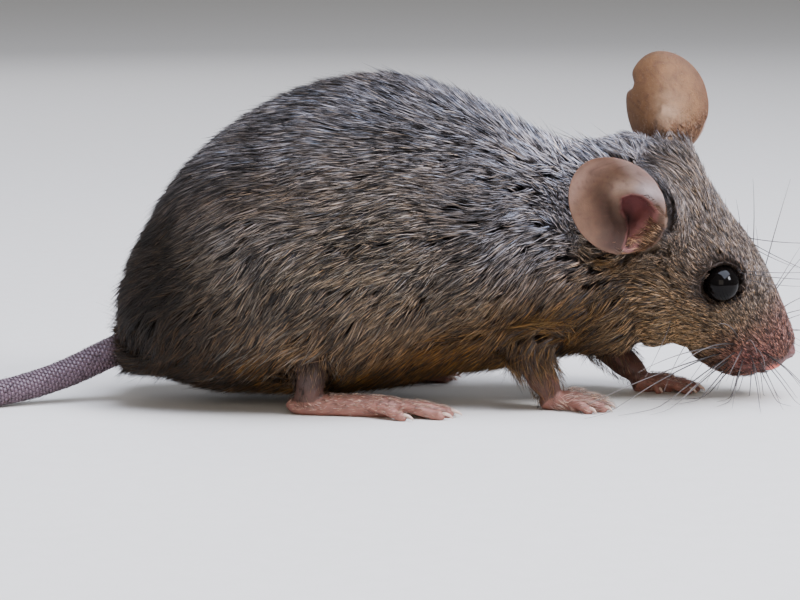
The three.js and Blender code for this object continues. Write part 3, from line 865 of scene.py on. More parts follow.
def lay_of_coat(points, normals, faces, kinds, finder):
    """The way the hair points at each vertex, along the skin."""
    is_kind = {name: (kinds == i)[:, None] for i, name in enumerate(finder.kinds)}
    head = in_head(points)
    side = np.sign(head[:, 1] + 1e-6)[:, None]
    flank = (1 - np.abs(normals[:, 2]))[:, None]
    rear = ramp(points[:, 0], -8.0, -26.0)[:, None]
    backward, downward = np.array([-1.0, 0.0, 0.0]), np.array([0.0, 0.0, -1.0])
    way = backward + 0.42 * downward * flank + np.array([0.35, 0.0, -0.75]) * rear * flank
    low = ramp(head[:, 2], 1.0, -4.0)[:, None] * ramp(head[:, 0], -5.0, -12.0)[:, None]
    head_way = HEAD_AXES @ np.array([-1.0, 0.0, 0.05]) * (1 - low) + np.array([-1.0, 0.0, -0.22]) * low
    for eye_side, _ in SIDES:  # it parts round the eye
        away = head - EYE_AT * [1, eye_side, 1]
        near = bell(np.linalg.norm(away, axis=1, keepdims=True), 0, 3.4)
        head_way = head_way + (unit(away) @ HEAD_AXES.T) * near * 0.9
    for names, lie in (
        (("head", "nose", "lower_jaw"), head_way),
        (("neck",), backward + 0.3 * downward * flank),
        (("haunch",), [-0.72, 0.0, -0.7]),
        (("upper_arm",), [-0.75, 0.0, -0.6]),
        (("forearm",), [0.25, 0.0, -1.0]),
        (("shank",), downward),
        (("fore_foot", "hind_foot"), [1.0, 0.0, -0.1]),
        (("tail",), [-1.0, 0.0, -0.4]),
    ):
        for name in names:
            way = np.where(is_kind[name], lie, way)
    for ear_side, _ in SIDES:
        to_front, up_ear, _ = ear_frame(ear_side)[1].T
        way = np.where(is_kind["ear"] & (side == ear_side), up_ear - 0.5 * to_front, way)
        local = in_ear(points, ear_side)
        around = by_ears(points) * (side[:, 0] * ear_side > 0)
        skirt = np.where(is_kind["ear"], 0, (ramp(local[:, 0], -0.5, 1.5) * around)[:, None])
        way = way * (1 - 0.3 * skirt) + up_ear * skirt * 0.3
        nape = np.where(is_kind["ear"], 0, around[:, None] * (1 - skirt))
        way = way * (1 - 0.25 * nape) + up_ear * nape * 0.25
    way = averaged(unit(way), edges_of(faces), 20)
    return along_skin(way, normals)


def along_skin(way, out):
    """A way with its part off the skin taken out, as unit vectors."""
    return unit(way - out * np.einsum("ij,ij->i", way, out)[:, None])


def open_eyes(points):
    """Presses the skin behind each eyeball and raises the lids round it."""
    points = points.copy()
    for side, _ in SIDES:
        centre = from_head(EYE_AT * [1, side, 1])
        away = points - centre
        distance = np.linalg.norm(away, axis=1)
        toward = away / np.maximum(distance, 1e-6)[:, None]
        angle = np.degrees(np.arccos(np.clip(toward @ (HEAD_AXES @ eye_axis(side)), -1, 1)))
        # The lid is a soft rim that hugs the ball. Inside the opening the skin passes behind the ball.
        rim, sunk = bell(angle, LID_OPENING + 5, 6.0), ramp(angle, LID_OPENING, LID_OPENING - 7)
        lid = EYE_RADIUS + 0.18 * rim - 0.9 * sunk
        near = ramp(angle, 104, 84) * ramp(distance, EYE_RADIUS * 2.1, EYE_RADIUS * 1.5)
        wanted = np.where(angle < LID_OPENING + 4, lid, np.maximum(lid, distance))
        inside = (distance < EYE_RADIUS * 2.3) & (angle < 104)
        new = mix(distance, wanted, near)
        points[inside] = centre + toward[inside] * new[inside, None]
    return points


def eye_axis(side):
    """Which way an eye looks, in the head's frame."""
    return unit(np.array([0.30, 0.90 * side, 0.32]))


def shape_face(points, normals):
    """Nostrils, the cleft of the lip and the mouth, pressed into the muzzle."""
    head = in_head(points)
    ahead, aside, above = head.T
    push = np.zeros(len(points))
    for side, _ in SIDES:
        nostril = (head - [0.15, 0.78 * side, -0.75]) / [0.9, 0.34, 0.42]
        wing = (head - [-0.1, 1.05 * side, -0.35]) / [0.7, 0.4, 0.35]
        push -= 0.55 * bell(np.linalg.norm(nostril, axis=1), 0, 1)
        push += 0.12 * bell(np.linalg.norm(wing, axis=1), 0, 1)
    lip = ramp(above, -0.9, -1.4) * ramp(above, -4.4, -3.6) * ramp(ahead, -3.5, -1.5)
    push -= 0.3 * bell(np.abs(aside), 0, 0.2) * lip
    # The mouth runs back and down from under the nose on each side.
    line = -3.5 + 0.33 * ahead
    push -= 0.5 * bell(np.abs(above - line), 0, 0.28) * ramp(ahead, -7.2, -5.5) * ramp(ahead, 0.6, -0.6)
    return points + normals * push[:, None]


def skin_tones(points, normals, kinds, finder, tints):
    """The skin's colour at each vertex: what the coat would be where it is covered, its own where bare."""
    root, band, _ = coat_colours(points, normals)
    height, head = points[:, 2], in_head(points)
    ahead, _, above = head.T

    def is_kind(*wanted):
        return finder.is_kind(kinds, *wanted)

    tone = mix(root, band, np.full(len(points), 0.45)) * 0.8
    foot, shin = is_kind("fore_foot", "hind_foot"), is_kind("forearm", "shank")
    sole_up = ramp(height, 0.9, 2.6), 0.8 * ramp(height, 2.4, 3.8)
    tone[foot] = painted(np.array(tints.foot), ("#694538", sole_up[0]), ("#48322a", sole_up[1]))[foot]
    bare_leg = mix(shade("#3f2b24"), shade("#5f382a"), is_kind("forearm"))
    bare_leg = mix(shade("#593b31"), bare_leg, 0.3 + 0.7 * ramp(height, 2.2, 4.0))
    tone[shin] = mix(tone, bare_leg, 0.95 * ramp(height, 9.0, 5.0))[shin]
    tone[is_kind("tail")] = shade("#5d4a55")
    tone[is_kind("nose")] = tints.nose
    muzzle = ramp(ahead, -7.5, -2.0) * is_kind("head", "lower_jaw", "nose")
    lips = bell(above + 4.0 - 0.33 * ahead, 0, 0.8) * ramp(ahead, -4.5, -2.5) * muzzle
    furred = ramp(ahead, -30.0, -24.0) * is_kind("head", "lower_jaw") * (1 - muzzle)
    tone = painted(
        tone,
        ("#6f4744", 0.75 * muzzle),
        ("#c8664a", 0.9 * lips),
        ("#d9694e", 0.95 * lip_corner(head)),
        (band, 0.7 * furred),
    )
    for side, _ in SIDES:
        gap = from_eye(head, side)
        tone = painted(tone, ("#33241f", 0.85 * ramp(gap, 3.0, 2.6)), ("#17110f", ramp(gap, 2.62, 2.35)))
        ear = is_kind("ear") & (np.sign(head[:, 1]) == side)
        tone[ear] = ear_tones(in_ear(points[ear], side), np.array(tints.ear))
    return tone


def ear_tones(local, ear_tone):
    """An ear's colour in its own frame: a brown back, and a paler cup with veins and a dark hollow, painted
    with light and shade.
    """
    p, q, f = local.T
    gap, rim = concha_edge(p, q), ear_rim(local)
    cup = f > ear_depth(local)
    # A painted highlight, pale lilac, where the front rim of the cup catches the light.
    painted_rim_highlight = bell(np.hypot(p - 3.7, q - 4.9), 0, 1.25)
    # Painted shade in the deepest part of the hollow and in the hole below it.
    painted_pit_shade, painted_hole_shade = bell(np.hypot(p + 0.2, q - 3.1), 0, 0.9), bell(np.hypot(p + 2.3, q - 1.7), 0, 0.42)
    fan = np.arctan2(p - 0.4, q - 2.6) * 3.2 + 0.7 * np.sin(q * 1.3 + p)
    vein = bell(fan % 1.0, 0.5, 0.09) * ramp(gap, 0.8, 2.0) * ramp(rim, 0.98, 0.8)
    return painted(
        ear_tone,
        # The back's warmer tan is partly the skin's own colour and partly a painted glow of light through the
        # thin ear.
        ("#74502f", 0.75 * ~cup),
        ("#a0846a", 0.5 * bell(p, 0.9, 1.7) * bell(q, 4.2, 3.2) * ~cup),
        ("#4f3423", 0.6 * ramp(rim, 0.84, 0.98) * ramp(p, 0.0, 2.5) * ~cup),
        ("#86685a", 0.6 * ramp(q, 9.0, 11.5) * cup),
        # a painted highlight along the fold round the hollow
        ("#9d8272", bell(gap, 1.4, 1.1) * cup * ramp(p, -1.2, 2.4)),
        # Painted shade over the rear of the cup, and painted light over its front.
        ("#2b1408", 0.9 * ramp(p, 0.8, -1.8) * ramp(gap, 5.0, 1.2) * cup),
        ("#a48d86", 0.7 * ramp(p, 2.2, 4.0) * cup),
        ("#4a2c22", 0.42 * vein),
        # the painted highlight on the cup's front rim
        ("#ccc0c4", 0.9 * painted_rim_highlight * cup),
        ("#5a3f2e", 0.5 * ramp(rim, 0.9, 1.0) * ramp(p, 3.0, 1.5)),
        ("#94625c", ramp(gap, 0.3, 0.0) * cup),
        # The hollow's maroon is partly the skin's own colour and partly painted shade; its pit and hole are
        # black painted shade.
        ("#5f2f2e", ramp(gap, 0.05, -0.25) * cup * ramp(q, 1.2, 2.9)),
        ("#210a0a", 0.85 * painted_pit_shade * cup),
        ("#0c0505", painted_hole_shade * cup),
    )


def lip_corner(head):
    """1 where the lower lip shows bare at the front of the mouth, on each side."""
    away = np.stack([head[:, 0] + 0.6, np.abs(head[:, 1]) - 1.9, head[:, 2] + 2.35], 1)
    return np.exp(-((np.linalg.norm(away / [1.1, 1.1, 0.75], axis=1)) ** 4))


def melted(points, faces, at, reach, times):
    """The skin round a place drawn together, so that the crease of a joint softens."""
    share = ramp(np.linalg.norm(points - at, axis=1), reach, reach * 0.6)
    edges = edges_of(faces[(share[faces] > 0).any(axis=1)])
    return averaged(points, edges, times, 0.5 * share)


def build_skin(sizes):
    """The skin of the whole animal as one closed piece, with its colours."""
    finder = Finder()
    points, faces = fleshed_out(sizes)
    # The body evens out over a few mm and the face over less than one.
    calm = 0.45 + 0.55 * ramp(in_head(points)[:, 0], -22.0, -30.0)
    points = smoothed(points, faces, 24, calm)
    for elbow in ELBOWS:
        points = melted(points, faces, elbow, 5.5, 70)
    # The back falls to the tail in one curve and turns under it in another, without corners.
    x, _, z = points.T
    over, under = bell(z, 17.8, 5.6) * ramp(x, -14.0, -28.0), bell(z, 1.5, 2.4) * ramp(x, -20.0, -30.0)
    points = points + np.stack([2.1 * over + 1.5 * under, 0 * over, 0.6 * under], 1)
    points = sunk_under_coat(points, faces, finder, sizes.gap * 0.5)
    points = smoothed(points, faces, 6, calm)
    # Fewer faces under the long coat, all of them on the face.
    keep = ramp(in_head(points)[:, 0], -26.0, -20.0)
    points, faces = refined(*thinned(points, faces, keep, sizes.share))
    points = open_eyes(shape_face(points, corner_normals(points, faces)))
    shape = points, faces
    for side, _ in SIDES:
        shape = united(shape, ear_shape(side))
        for plan in (HIND, FORE):
            shape = united(shape, foot_shape(plan, side, sizes.foot_voxel))
    points, faces = united(shape, tail_shape(sizes.scale_depth))
    for side, _ in SIDES:
        for plan in (HIND, FORE):
            joint, above = leg_ends(plan, side)
            points = melted(points, faces, foot_place(plan, side, mix(joint, above, 0.4)), 2.8, 12)
    kinds = finder.kinds_at(points)
    normals = corner_normals(points, faces)
    piece = finish_piece("skin", points, faces, skin_material(), FLESH + FEET + EARS + TAIL)
    hold(piece.data, "Skin", "FLOAT_COLOR", skin_tones(points, normals, kinds, finder, sizes))
    dullness = np.array([DULLNESS.get(kind, DULLNESS["other"]) for kind in finder.kinds])
    hold(piece.data, "Dullness", "FLOAT", dullness[kinds])


def fleshed_out(sizes):
    """The solids of flesh run together into one closed shape, with the fleshy base of each ear."""
    lumps = []
    for side, _ in SIDES:
        origin, axes = ear_frame(side)
        points, faces = lump((0.4, 0.2, -2.7), (2.1, 2.5, 1.9))
        lumps.append((points @ axes.T + origin, faces[:, ::side]))
    shape = joined([node_shape(name, sizes.gap * 0.5 + 0.05) for name in FLESH] + lumps)
    return modified(shape, "REMESH", mode="VOXEL", voxel_size=sizes.voxel)


def sunk_under_coat(points, faces, finder, more):
    """The skin taken in by the depth of the coat over it, and a little more."""
    plan, _ = coat_plan(points, faces, finder)
    for side, _ in SIDES:  # the coat thins round the ears
        origin, axes = ear_frame(side)
        base = np.linalg.norm(points - (origin + axes @ np.array([0.4, 2.5, -2.0])), axis=1)
        plan[:, 0] *= 1 - 0.8 * ramp(base, 6.0, 3.5)
    normals = averaged(corner_normals(points, faces), edges_of(faces), 6)
    return points - unit(normals) * (plan[:, :1] + more)


def thinned(points, faces, keep, share):
    """Fewer faces by collapsing edges, fewest where keep is 0."""
    weights = np.round((1 - keep) * 8) / 8
    return modified((points, faces), "DECIMATE", weights, ratio=share, vertex_group_factor=4.0)


def refined(points, faces):
    """Finer faces at the muzzle and round the eyes."""
    mesh = bmesh.new()
    work = mesh_of("work", points, faces)
    mesh.from_mesh(work)
    head = in_head(points)
    fine = head[:, 0] > -5.0
    for side, _ in SIDES:
        fine |= from_eye(head, side) < 2 * EYE_RADIUS
    mesh.verts.ensure_lookup_table()
    wanted = [edge for edge in mesh.edges if fine[edge.verts[0].index] and fine[edge.verts[1].index]]
    bmesh.ops.subdivide_edges(mesh, edges=wanted, cuts=1, use_grid_fill=True)
    bmesh.ops.triangulate(mesh, faces=mesh.faces[:])
    mesh.to_mesh(work)
    mesh.free()
    shape = arrays_of(work)
    bpy.data.meshes.remove(work)
    return shape


# ---- Coat ----
def coat_colours(points, normals):
    """Root, band and tip colours of the hair at points on the skin, for the skin and the coat alike."""
    tints = bpy.context.scene.mouse.coat
    x, z, up = points[:, 0], points[:, 2], normals[:, 2]
    head = in_head(points)
    ahead, _, above = head.T
    # Where each marking lies, from 0 to 1. back, fore and nape also carry a painted sheen, and rump and under
    # carry painted shade.
    # The back's hair is greyer of its own, and its pale bluish tips are also a painted sheen of light from
    # above.
    back, belly = ramp(up, 0.15, 0.85), ramp(up, -0.15, -0.7)
    on_head = ramp(ahead, -33.0, -22.0) * ramp(x, 22.0, 30.0)
    # The rump's hair is a darker brown of its own, deepened by painted shade on the side turned from the
    # light.
    rump = ramp(x + 0.28 * (z - 12), -9.0, -23.0)
    chest = ramp(x, 8.0, 16.0) * ramp(z, 20.0, 12.0)
    # Low down and underneath, the hair is browner, and darker still by painted shade.
    low = ramp(z, 18.5, 8.5) * (1 - on_head)
    under = np.maximum(belly, low * 0.8)
    # Pale grey tips over the shoulders and the top of the neck: a painted sheen of light from the front and
    # above.
    fore = ramp(x, -6.0, 14.0) * ramp(up, -0.35, 0.35)
    mottle = ramp(noise(points / [7.0, 5.0, 5.0], 31), 0.45, 0.75) * (1 - on_head) * (1 - fore)
    crown = ramp(above, -2.0, 4.0)
    jowl = bell(np.linalg.norm((head - [-12.0, 0, -6.0]) * [0.8, 0, 1], axis=1), 0, 4.5) * on_head
    # Near-white tips on the nape: a painted sheen of light.
    nape = nape_of(points) * (1 - 0.5 * on_head)
    muzzle = ramp(ahead, -8.0, -2.5)
    pad = bell(np.linalg.norm((head - [-4.2, 0, -2.8]) * [0.8, 0, 1], axis=1), 0, 2.6)
    crescent, lids = np.zeros(len(points)), np.zeros(len(points))
    for side, _ in SIDES:  # dark hair edges the eye, and the front of each ear, where it is partly painted shade of the crease there
        lids = np.maximum(lids, ramp(from_eye(head, side), 3.3, 2.75))
        local = in_ear(points, side)
        ring = bell(ear_rim(local), 1.12, 0.13) * ramp(local[:, 0], 0.5, 2.0)
        crescent = np.maximum(crescent, ring * (np.abs(local[:, 2]) < 4.5))

    root = painted(shade("#2c2726"), ("#2f2720", belly), ("#3a3029", on_head * 0.8), ("#191007", rump * 0.9))
    band = painted(
        shade("#6d5e52"),
        ("#6d6b70", back),
        ("#7d787a", fore * 0.6),
        ("#5b4a3b", mottle * 0.5),
        ("#4a3215", under),
        ("#49331a", chest),
        ("#1c1206", rump * 0.92),
        ("#5f4f3f", on_head),
        ("#7a5f3e", jowl * 0.7),
        ("#a6a0a4", nape),
        ("#6b443a", muzzle * 0.85),
        ("#6e3a3a", pad * 0.6),
        ("#2c201b", lids * 0.65),
        ("#2b2728", crescent * 0.85),
    )
    tip = painted(
        np.array(tints.flank),
        (tints.back, back),
        ("#a9a3a6", fore * 0.7),
        ("#8c755e", mottle * 0.5),
        (tints.belly, under),
        ("#73542a", chest),
        (tints.rump, rump * 0.92),
        (mix(np.array(tints.face), np.array(tints.crown), crown), on_head),
        ("#b5946a", jowl * 0.7),
        ("#f0eaee", nape),
        ("#8a6358", muzzle * 0.8),
        ("#8f5f5c", pad * 0.5),
        ("#4a3a32", lids * 0.65),
        ("#4d494d", crescent * 0.8),
    )
    return root, band, tip


def sample_locks(points, faces, density, rng):
    """Roots spread over the skin by density, as face numbers and places in each face."""
    a, b, c = (points[faces[:, k]] for k in range(3))
    area = 0.5 * np.linalg.norm(np.cross(b - a, c - a), axis=1)
    total = np.cumsum(area * density)
    count = int(total[-1])
    steps = (np.arange(count) + rng.random(count)) * (total[-1] / count)
    face = np.searchsorted(total, steps)
    face = np.minimum(face, len(faces) - 1)
    u, v = rng.random(count), rng.random(count)
    over = u + v > 1
    u[over], v[over] = 1 - u[over], 1 - v[over]
    return face, np.stack([1 - u - v, u, v], 1)


def nearest_on(tree, points):
    find = tree.find_nearest
    found = [find(p) for p in points.tolist()]
    return np.array([f[0] for f in found]), np.array([f[1] for f in found])


LEAF = np.array([(0, 1, 3), (0, 3, 2), (0, 2, 1), (1, 4, 3), (3, 4, 2), (2, 4, 1)])
LEAF_UV = np.array([(0.0, 0.0), (-0.5, 0.5), (0.5, 0.5), (0.0, 0.4), (0.0, 1.0)])


def leaves(root, middle, tip, out, width, roll):
    """Closed slim leaves from their roots through their middles to their tips, which are both pointed."""
    axis = unit(tip - root)
    across = unit(np.cross(out, axis))
    rise = np.cross(axis, across)
    turned = across * np.cos(roll)[:, None] + rise * np.sin(roll)[:, None]
    proud = rise * np.cos(roll)[:, None] - across * np.sin(roll)[:, None]
    half = turned * (width * 0.5)[:, None]
    points = [root, middle - half, middle + half, middle + proud * (width * 0.45)[:, None], tip]
    return np.stack(points, 1).reshape(-1, 3)


def build_coat(sizes):
    """The coat as tufts over the skin, parted into pieces."""
    rng = np.random.default_rng(SEED)
    locks = rooted_locks(sizes.fullness, rng)
    locks.dark = dark_streaks(locks.root)
    # The streaks darken their locks: partly dark hair, partly painted shade where the coat would part.
    locks.tone = rng.normal(1.0, 0.08, len(locks.root)) * (1 - 0.45 * locks.dark)
    tufts = tufts_of(locks, sizes.guard, rng)
    part_coat(locks, tufts, hair_tones(locks, tufts, rng), sizes.most_faces)


def bald_places(points, kinds, finder):
    """1 where no hair grows: at the eyes, in the ears' cups, on the nose and the lip, and under the feet."""
    head = in_head(points)
    bare = np.zeros(len(points))
    for side, _ in SIDES:
        bare = np.maximum(bare, ramp(from_eye(head, side), 2.75, 2.45))
        local = in_ear(points, side)
        cup = ramp(ear_rim(local), 0.95, 0.88) * (local[:, 2] > ear_depth(local) - 0.4) * (local[:, 2] < 3)
        bare = np.maximum(bare, cup * ~finder.is_kind(kinds, "ear"))
    for more in (ramp(head[:, 0], -0.9, -0.1), lip_corner(head), ramp(points[:, 2], 0.8, 0.3)):
        bare = np.maximum(bare, more)
    return bare


def rooted_locks(fullness, rng):
    """The coat's locks: where each is rooted, how it lies, its sizes, and where its middle and tip are."""
    finder = Finder()
    points, faces = arrays_of(bpy.data.objects["skin"].data)
    points = points / MM - ORIGIN
    plan, kinds = coat_plan(points, faces, finder, 12)
    soft_normals = unit(averaged(corner_normals(points, faces), edges_of(faces), 8))
    way = lay_of_coat(points, soft_normals, faces, kinds, finder)
    density = plan[:, 3] / plan[:, 4] * (1 - bald_places(points, kinds, finder))
    tree = BVHTree.FromPolygons(points.tolist(), faces.tolist())
    face, share = sample_locks(points, faces, density[faces].mean(axis=1) * fullness, rng)

    def at_roots(values):
        return np.einsum("ij,ij...->i...", share, values[faces[face]])

    root, out, flow = at_roots(points), unit(at_roots(soft_normals)), at_roots(way)
    depth, length, width, density, crowd = at_roots(plan).T
    kind = kinds[faces[face, 0]]
    head = in_head(root)
    throat = ramp(head[:, 0], -10.5, -15.0) * ramp(head[:, 0], -30, -24) * ramp(head[:, 2], -4.5, -7.5)
    depth, length = depth + 0.5 * throat, length + 1.1 * throat
    # Each lock swings a little off the lie of the coat, and neighbours swing alike.
    swirl = (noise(root / 4.5, 5) - 0.5) * 0.7 + rng.normal(0, 0.1, len(root))
    flow = unit(flow * np.cos(swirl)[:, None] + np.cross(out, flow) * np.sin(swirl)[:, None])
    flow = along_skin(flow, out)
    length = length * rng.uniform(0.82, 1.15, len(root))
    under_middle, out_middle = nearest_on(tree, root + flow * (length * 0.55)[:, None])
    under_tip, out_tip = nearest_on(tree, root + flow * (length * 0.97)[:, None])
    on_ear = finder.is_kind(kind, "ear")
    crossing, brim = at_the_cups(root, under_tip + out_tip * depth[:, None], on_ear, rng)
    lift = rng.uniform(0.86, 1.04, len(root))
    return SimpleNamespace(
        root=root, out=out, flow=flow, length=length, width=width, density=density,
        middle=under_middle + out_middle * (depth * 0.66 * lift + 0.12)[:, None],
        tip=under_tip + out_tip * (depth * 0.98 * lift + 0.1)[:, None],
        out_middle=out_middle, out_tip=out_tip,
        crowd=np.where(crossing, 0, np.maximum(np.round(crowd), 3)).astype(int),
        brim=brim, on_ear=on_ear,
        on_face=ramp(head[:, 0], -30.0, -24.0) * ramp(root[:, 0], 24.0, 30.0),
        on_head=finder.is_kind(kind, "head", "lower_jaw", "nose", "ear"),
        on_foot=finder.is_kind(kind, "fore_foot", "hind_foot"),
        on_limb=finder.is_kind(kind, "forearm", "fore_foot", "shank", "hind_foot"),
    )


def at_the_cups(root, tip, on_ear, rng):
    """Which locks are left out as they would lie in the cup of an ear, and which stand on its low edge.

    A few of the head's locks may cross the cup, low in front.
    """
    crossing, brim = np.zeros(len(root), bool), np.zeros(len(root))
    for side, _ in SIDES:
        p, q, f = in_ear(tip, side).T
        local = np.stack([p, q, f], 1)
        over = (ear_rim(local) < 0.95) & (f > ear_depth(local) - 0.5) & (f < 2.2) & ~on_ear
        crossing |= over & ~((q < 2.4) & (p > 0.6) & (rng.random(len(root)) < 0.5))
        local = in_ear(root, side)
        mine = on_ear & (in_head(root)[:, 1] * side > 0)
        brim = np.maximum(brim, mine * ear_brim(local))
        crossing |= mine & (local[:, 2] > ear_depth(local) - 0.05) & (brim < 0.2)
    return crossing, brim


def dark_streaks(root):
    """1 in short streaks and patches where the coat is darker: partly its dark under hair, partly painted
    shade of partings.
    """
    x, y, z = root.T
    lean = np.stack([x + z * 0.45, y, z - x * 0.25], 1)
    patch, streak = noise(lean / [4.0, 2.6, 2.8], 9), noise(lean / [2.8, 0.9, 0.8], 10)
    dark = np.maximum(ramp(patch, 0.52, 0.82) * 0.75, ramp(streak, 0.64, 0.9) * 0.65)
    return dark * mix(1.0, 0.4, ramp(x, 4, 18))


def tufts_of(locks, guard, rng):
    """Each lock as several tufts that draw together towards its tip, with single guard hairs over some."""
    lock = np.repeat(np.arange(len(locks.root)), locks.crowd)
    total = len(lock)
    flow, length = locks.flow[lock], locks.length[lock]
    angle, reach = rng.uniform(0, 2 * math.pi, total), np.sqrt(rng.random(total))
    radius = (np.sqrt(locks.crowd / np.maximum(locks.density, 1.0) / math.pi) * 1.7)[lock]
    beside = np.cross(locks.out, locks.flow)[lock]
    radius = radius * reach
    spread = flow * (np.cos(angle) * radius)[:, None] + beside * (np.sin(angle) * radius)[:, None]
    jitter = rng.normal(0, 0.04, (total, 3)) * length[:, None]
    shorter = rng.uniform(-0.3, 0.12, total) * length
    drawn = mix(0.3 + 0.45 * noise(locks.root / 2.5, 21), 0.75, locks.on_face)[lock, None]
    drawn = np.where(rng.random((total, 1)) < LOOSE_TUFTS, 1.1, drawn)
    base = locks.root[lock] + spread - locks.out[lock] * ROOT_DEPTH
    middle = locks.middle[lock] + spread * (1 + drawn) / 2 + jitter * 0.5 + flow * (shorter * 0.5)[:, None]
    tip = locks.tip[lock] + spread * drawn + jitter + flow * shorter[:, None]
    width = locks.width[lock] * rng.uniform(0.7, 1.2, total)
    # Guard hairs: single, longer and thinner, and proud of the rest.
    long_coat = (locks.length > 2.2) & (locks.crowd > 0)
    some = rng.choice(np.nonzero(long_coat)[0], int(long_coat.sum() * guard), replace=False)
    proud = rng.uniform(0.1, 0.75, len(some)) * (1 + 2.2 * nape_of(locks.root[some]))
    ahead = (locks.flow[some] * locks.length[some, None]) * rng.uniform(0.1, 0.45, len(some))[:, None]
    over_middle = locks.out_middle[some] * (proud * 0.55)[:, None] + ahead * 0.4
    base = np.vstack([base, locks.root[some] - locks.out[some] * ROOT_DEPTH])
    middle = np.vstack([middle, locks.middle[some] + over_middle])
    tip = np.vstack([tip, locks.tip[some] + locks.out_tip[some] * proud[:, None] + ahead])
    width = np.concatenate([width, np.minimum(locks.width[some], 0.09) * 0.75])
    lock = np.concatenate([lock, some])
    points = leaves(base, middle, tip, locks.out[lock], width, rng.normal(0, 0.5, len(lock)))
    points[:, 2] = np.maximum(points[:, 2], FLOOR_GAP)
    return SimpleNamespace(lock=lock, guard=np.arange(len(lock)) >= total, points=points)


def hair_tones(locks, tufts, rng):
    """Agouti hair: some tufts are black to the tip, the rest have a buff band or a grey one."""
    lock, total = tufts.lock, len(tufts.lock)
    x, _, z = locks.root.T
    up = locks.out[:, 2]
    chance = 0.2 + 0.12 * ramp(up, 0.15, 0.85) + 0.25 * locks.dark - 0.12 * ramp(up, -0.1, -0.6)
    chance = mix(chance, 0.05, locks.on_face)
    thigh = ramp(x, -21, -15) * ramp(x, -1, -7) * ramp(z, 16, 11)
    black = rng.random(total) < np.where(tufts.guard, 0.6 - 0.5 * thigh[lock], chance[lock])
    pale = rng.random(total) < np.where(tufts.guard, 0.8, 0.14)
    # Dark, middling and light tufts. They differ most on the face and low down, least on the nape.
    level = rng.choice([0.36, 0.9, 1.9], total, p=[0.27, 0.5, 0.23])
    level = level * np.clip(rng.normal(1.0, 0.14, total), 0.5, 1.5)
    fore = ramp(x, 0, 14) * ramp(z, 18, 24) * (1 - locks.on_face)
    plain = np.maximum(0.3 * fore, 0.4 * nape_of(locks.root))
    level = level ** (1.1 + 0.35 * np.maximum(locks.on_face, ramp(z, 17, 8)) - plain)[lock]
    level = np.where(black, np.maximum(level, 0.75), level)
    warmth = rng.normal(0.0, 0.09, total)[:, None] * [1.0, 0.15, -1.0]
    each = (locks.tone[lock] * level)[:, None] * (1 + warmth)
    base, band, tip = (tone[lock] for tone in coat_colours(locks.root, locks.out))
    dark = black[:, None]
    band, tip = np.where(dark, base * 1.15, band) * each, np.where(dark, base * 0.75, tip) * each
    base = base * each
    tip = np.where((pale & ~black)[:, None], tip * 1.2, tip)
    # Pale tips on the thigh's guard hairs: partly their own colour, partly painted glints of light.
    tip = mix(tip, shade("#e0d8ca"), 0.8 * thigh[lock] * tufts.guard * ~black)
    for where, codes in (
        (locks.on_foot, ("#7a5a4c", "#8f7464", "#b09c8a")),
        (locks.on_ear, ("#58402f", "#6b4d3a", "#8b6d58")),
    ):
        here = where[lock, None]
        base, band, tip = (
            np.where(here, shade(code) * each, old) for code, old in zip(codes, (base, band, tip))
        )
    band = mix(band, shade("#86674a") * each, locks.brim[lock])
    tip = mix(tip, shade("#c09a72") * each, locks.brim[lock])
    return np.stack([base, band, band, band * 1.1, tip], 1)


def part_coat(locks, tufts, tones, most_faces):
    """The coat parted by place into pieces of under 200,000 faces."""
    names = ("rump", "barrel", "shoulder", "head", "limb")
    zone = np.digitize(locks.root[:, 0], ZONE_ENDS)
    zone = np.where(locks.on_limb, 4, np.where(locks.on_head, 3, zone))
    left = (in_head(locks.root)[:, 1] > 0) * locks.on_head + (locks.root[:, 1] > 0) * ~locks.on_head
    finish = hair_material("agouti hair", 0.46)
    for number, zone_name in enumerate(names):
        for side, side_name in ((1, "left"), (0, "right")):
            chosen = np.nonzero(((zone == number) & (left == side))[tufts.lock])[0]
            parts = max(1, math.ceil(len(chosen) * len(LEAF) / most_faces))
            order = chosen[np.argsort(locks.root[tufts.lock[chosen], 0], kind="stable")]
            for part, some in enumerate(np.array_split(order, parts)):
                name = f"coat_{zone_name}_{side_name}" + (f"_{part + 1}" if parts > 1 else "")
                coat_piece(name, some, locks, tufts, tones, finish)


def nape_of(points):
    """1 on the nape, where the coat stands up behind the ears."""
    return ramp(points[:, 0], 12.0, 20.0) * ramp(points[:, 0], 30.5, 23.5) * ramp(points[:, 2], 23.0, 27.0)


def coat_piece(name, chosen, locks, tufts, tones, finish):
    """One piece of the coat, with a UV map that its colours can be baked to."""
    corners = len(LEAF_UV)
    points = tufts.points.reshape(-1, corners, 3)[chosen].reshape(-1, 3)
    faces = (LEAF[None] + (np.arange(len(chosen)) * corners)[:, None, None]).reshape(-1, 3)
    piece = finish_piece(name, points, faces, finish)
    hold(piece.data, "Hair", "FLOAT_COLOR", tones[chosen].reshape(-1, 3))
    # The unwrap: along the body, and round its middle line.
    lock = tufts.lock[chosen]
    at = locks.root[lock]
    height = np.interp(at[:, 0], *MIDDLE_LINE)[:, None]
    local = np.where(locks.on_head[lock, None], in_head(at) + [0, 0, 1.0], at - [0, 0, 1] * height)
    place = np.stack([fitted(local[:, 0]), fitted(np.arctan2(local[:, 1], local[:, 2]))], 1)
    patch = place[:, None] + LEAF_UV[None] * PATCH
    corner = patch[np.arange(len(chosen))[:, None, None], LEAF[None]].reshape(-1, 2)
    layer = piece.data.uv_layers.new(name="OFBake")
    layer.uv.foreach_set("vector", np.clip(corner, 0, 1).astype(np.float32).ravel())


def fitted(values):
    """Values spread from just over 0 to just under 1."""
    low, high = values.min(), values.max()
    return 0.01 + 0.975 * (values - low) / max(high - low, 1e-6)


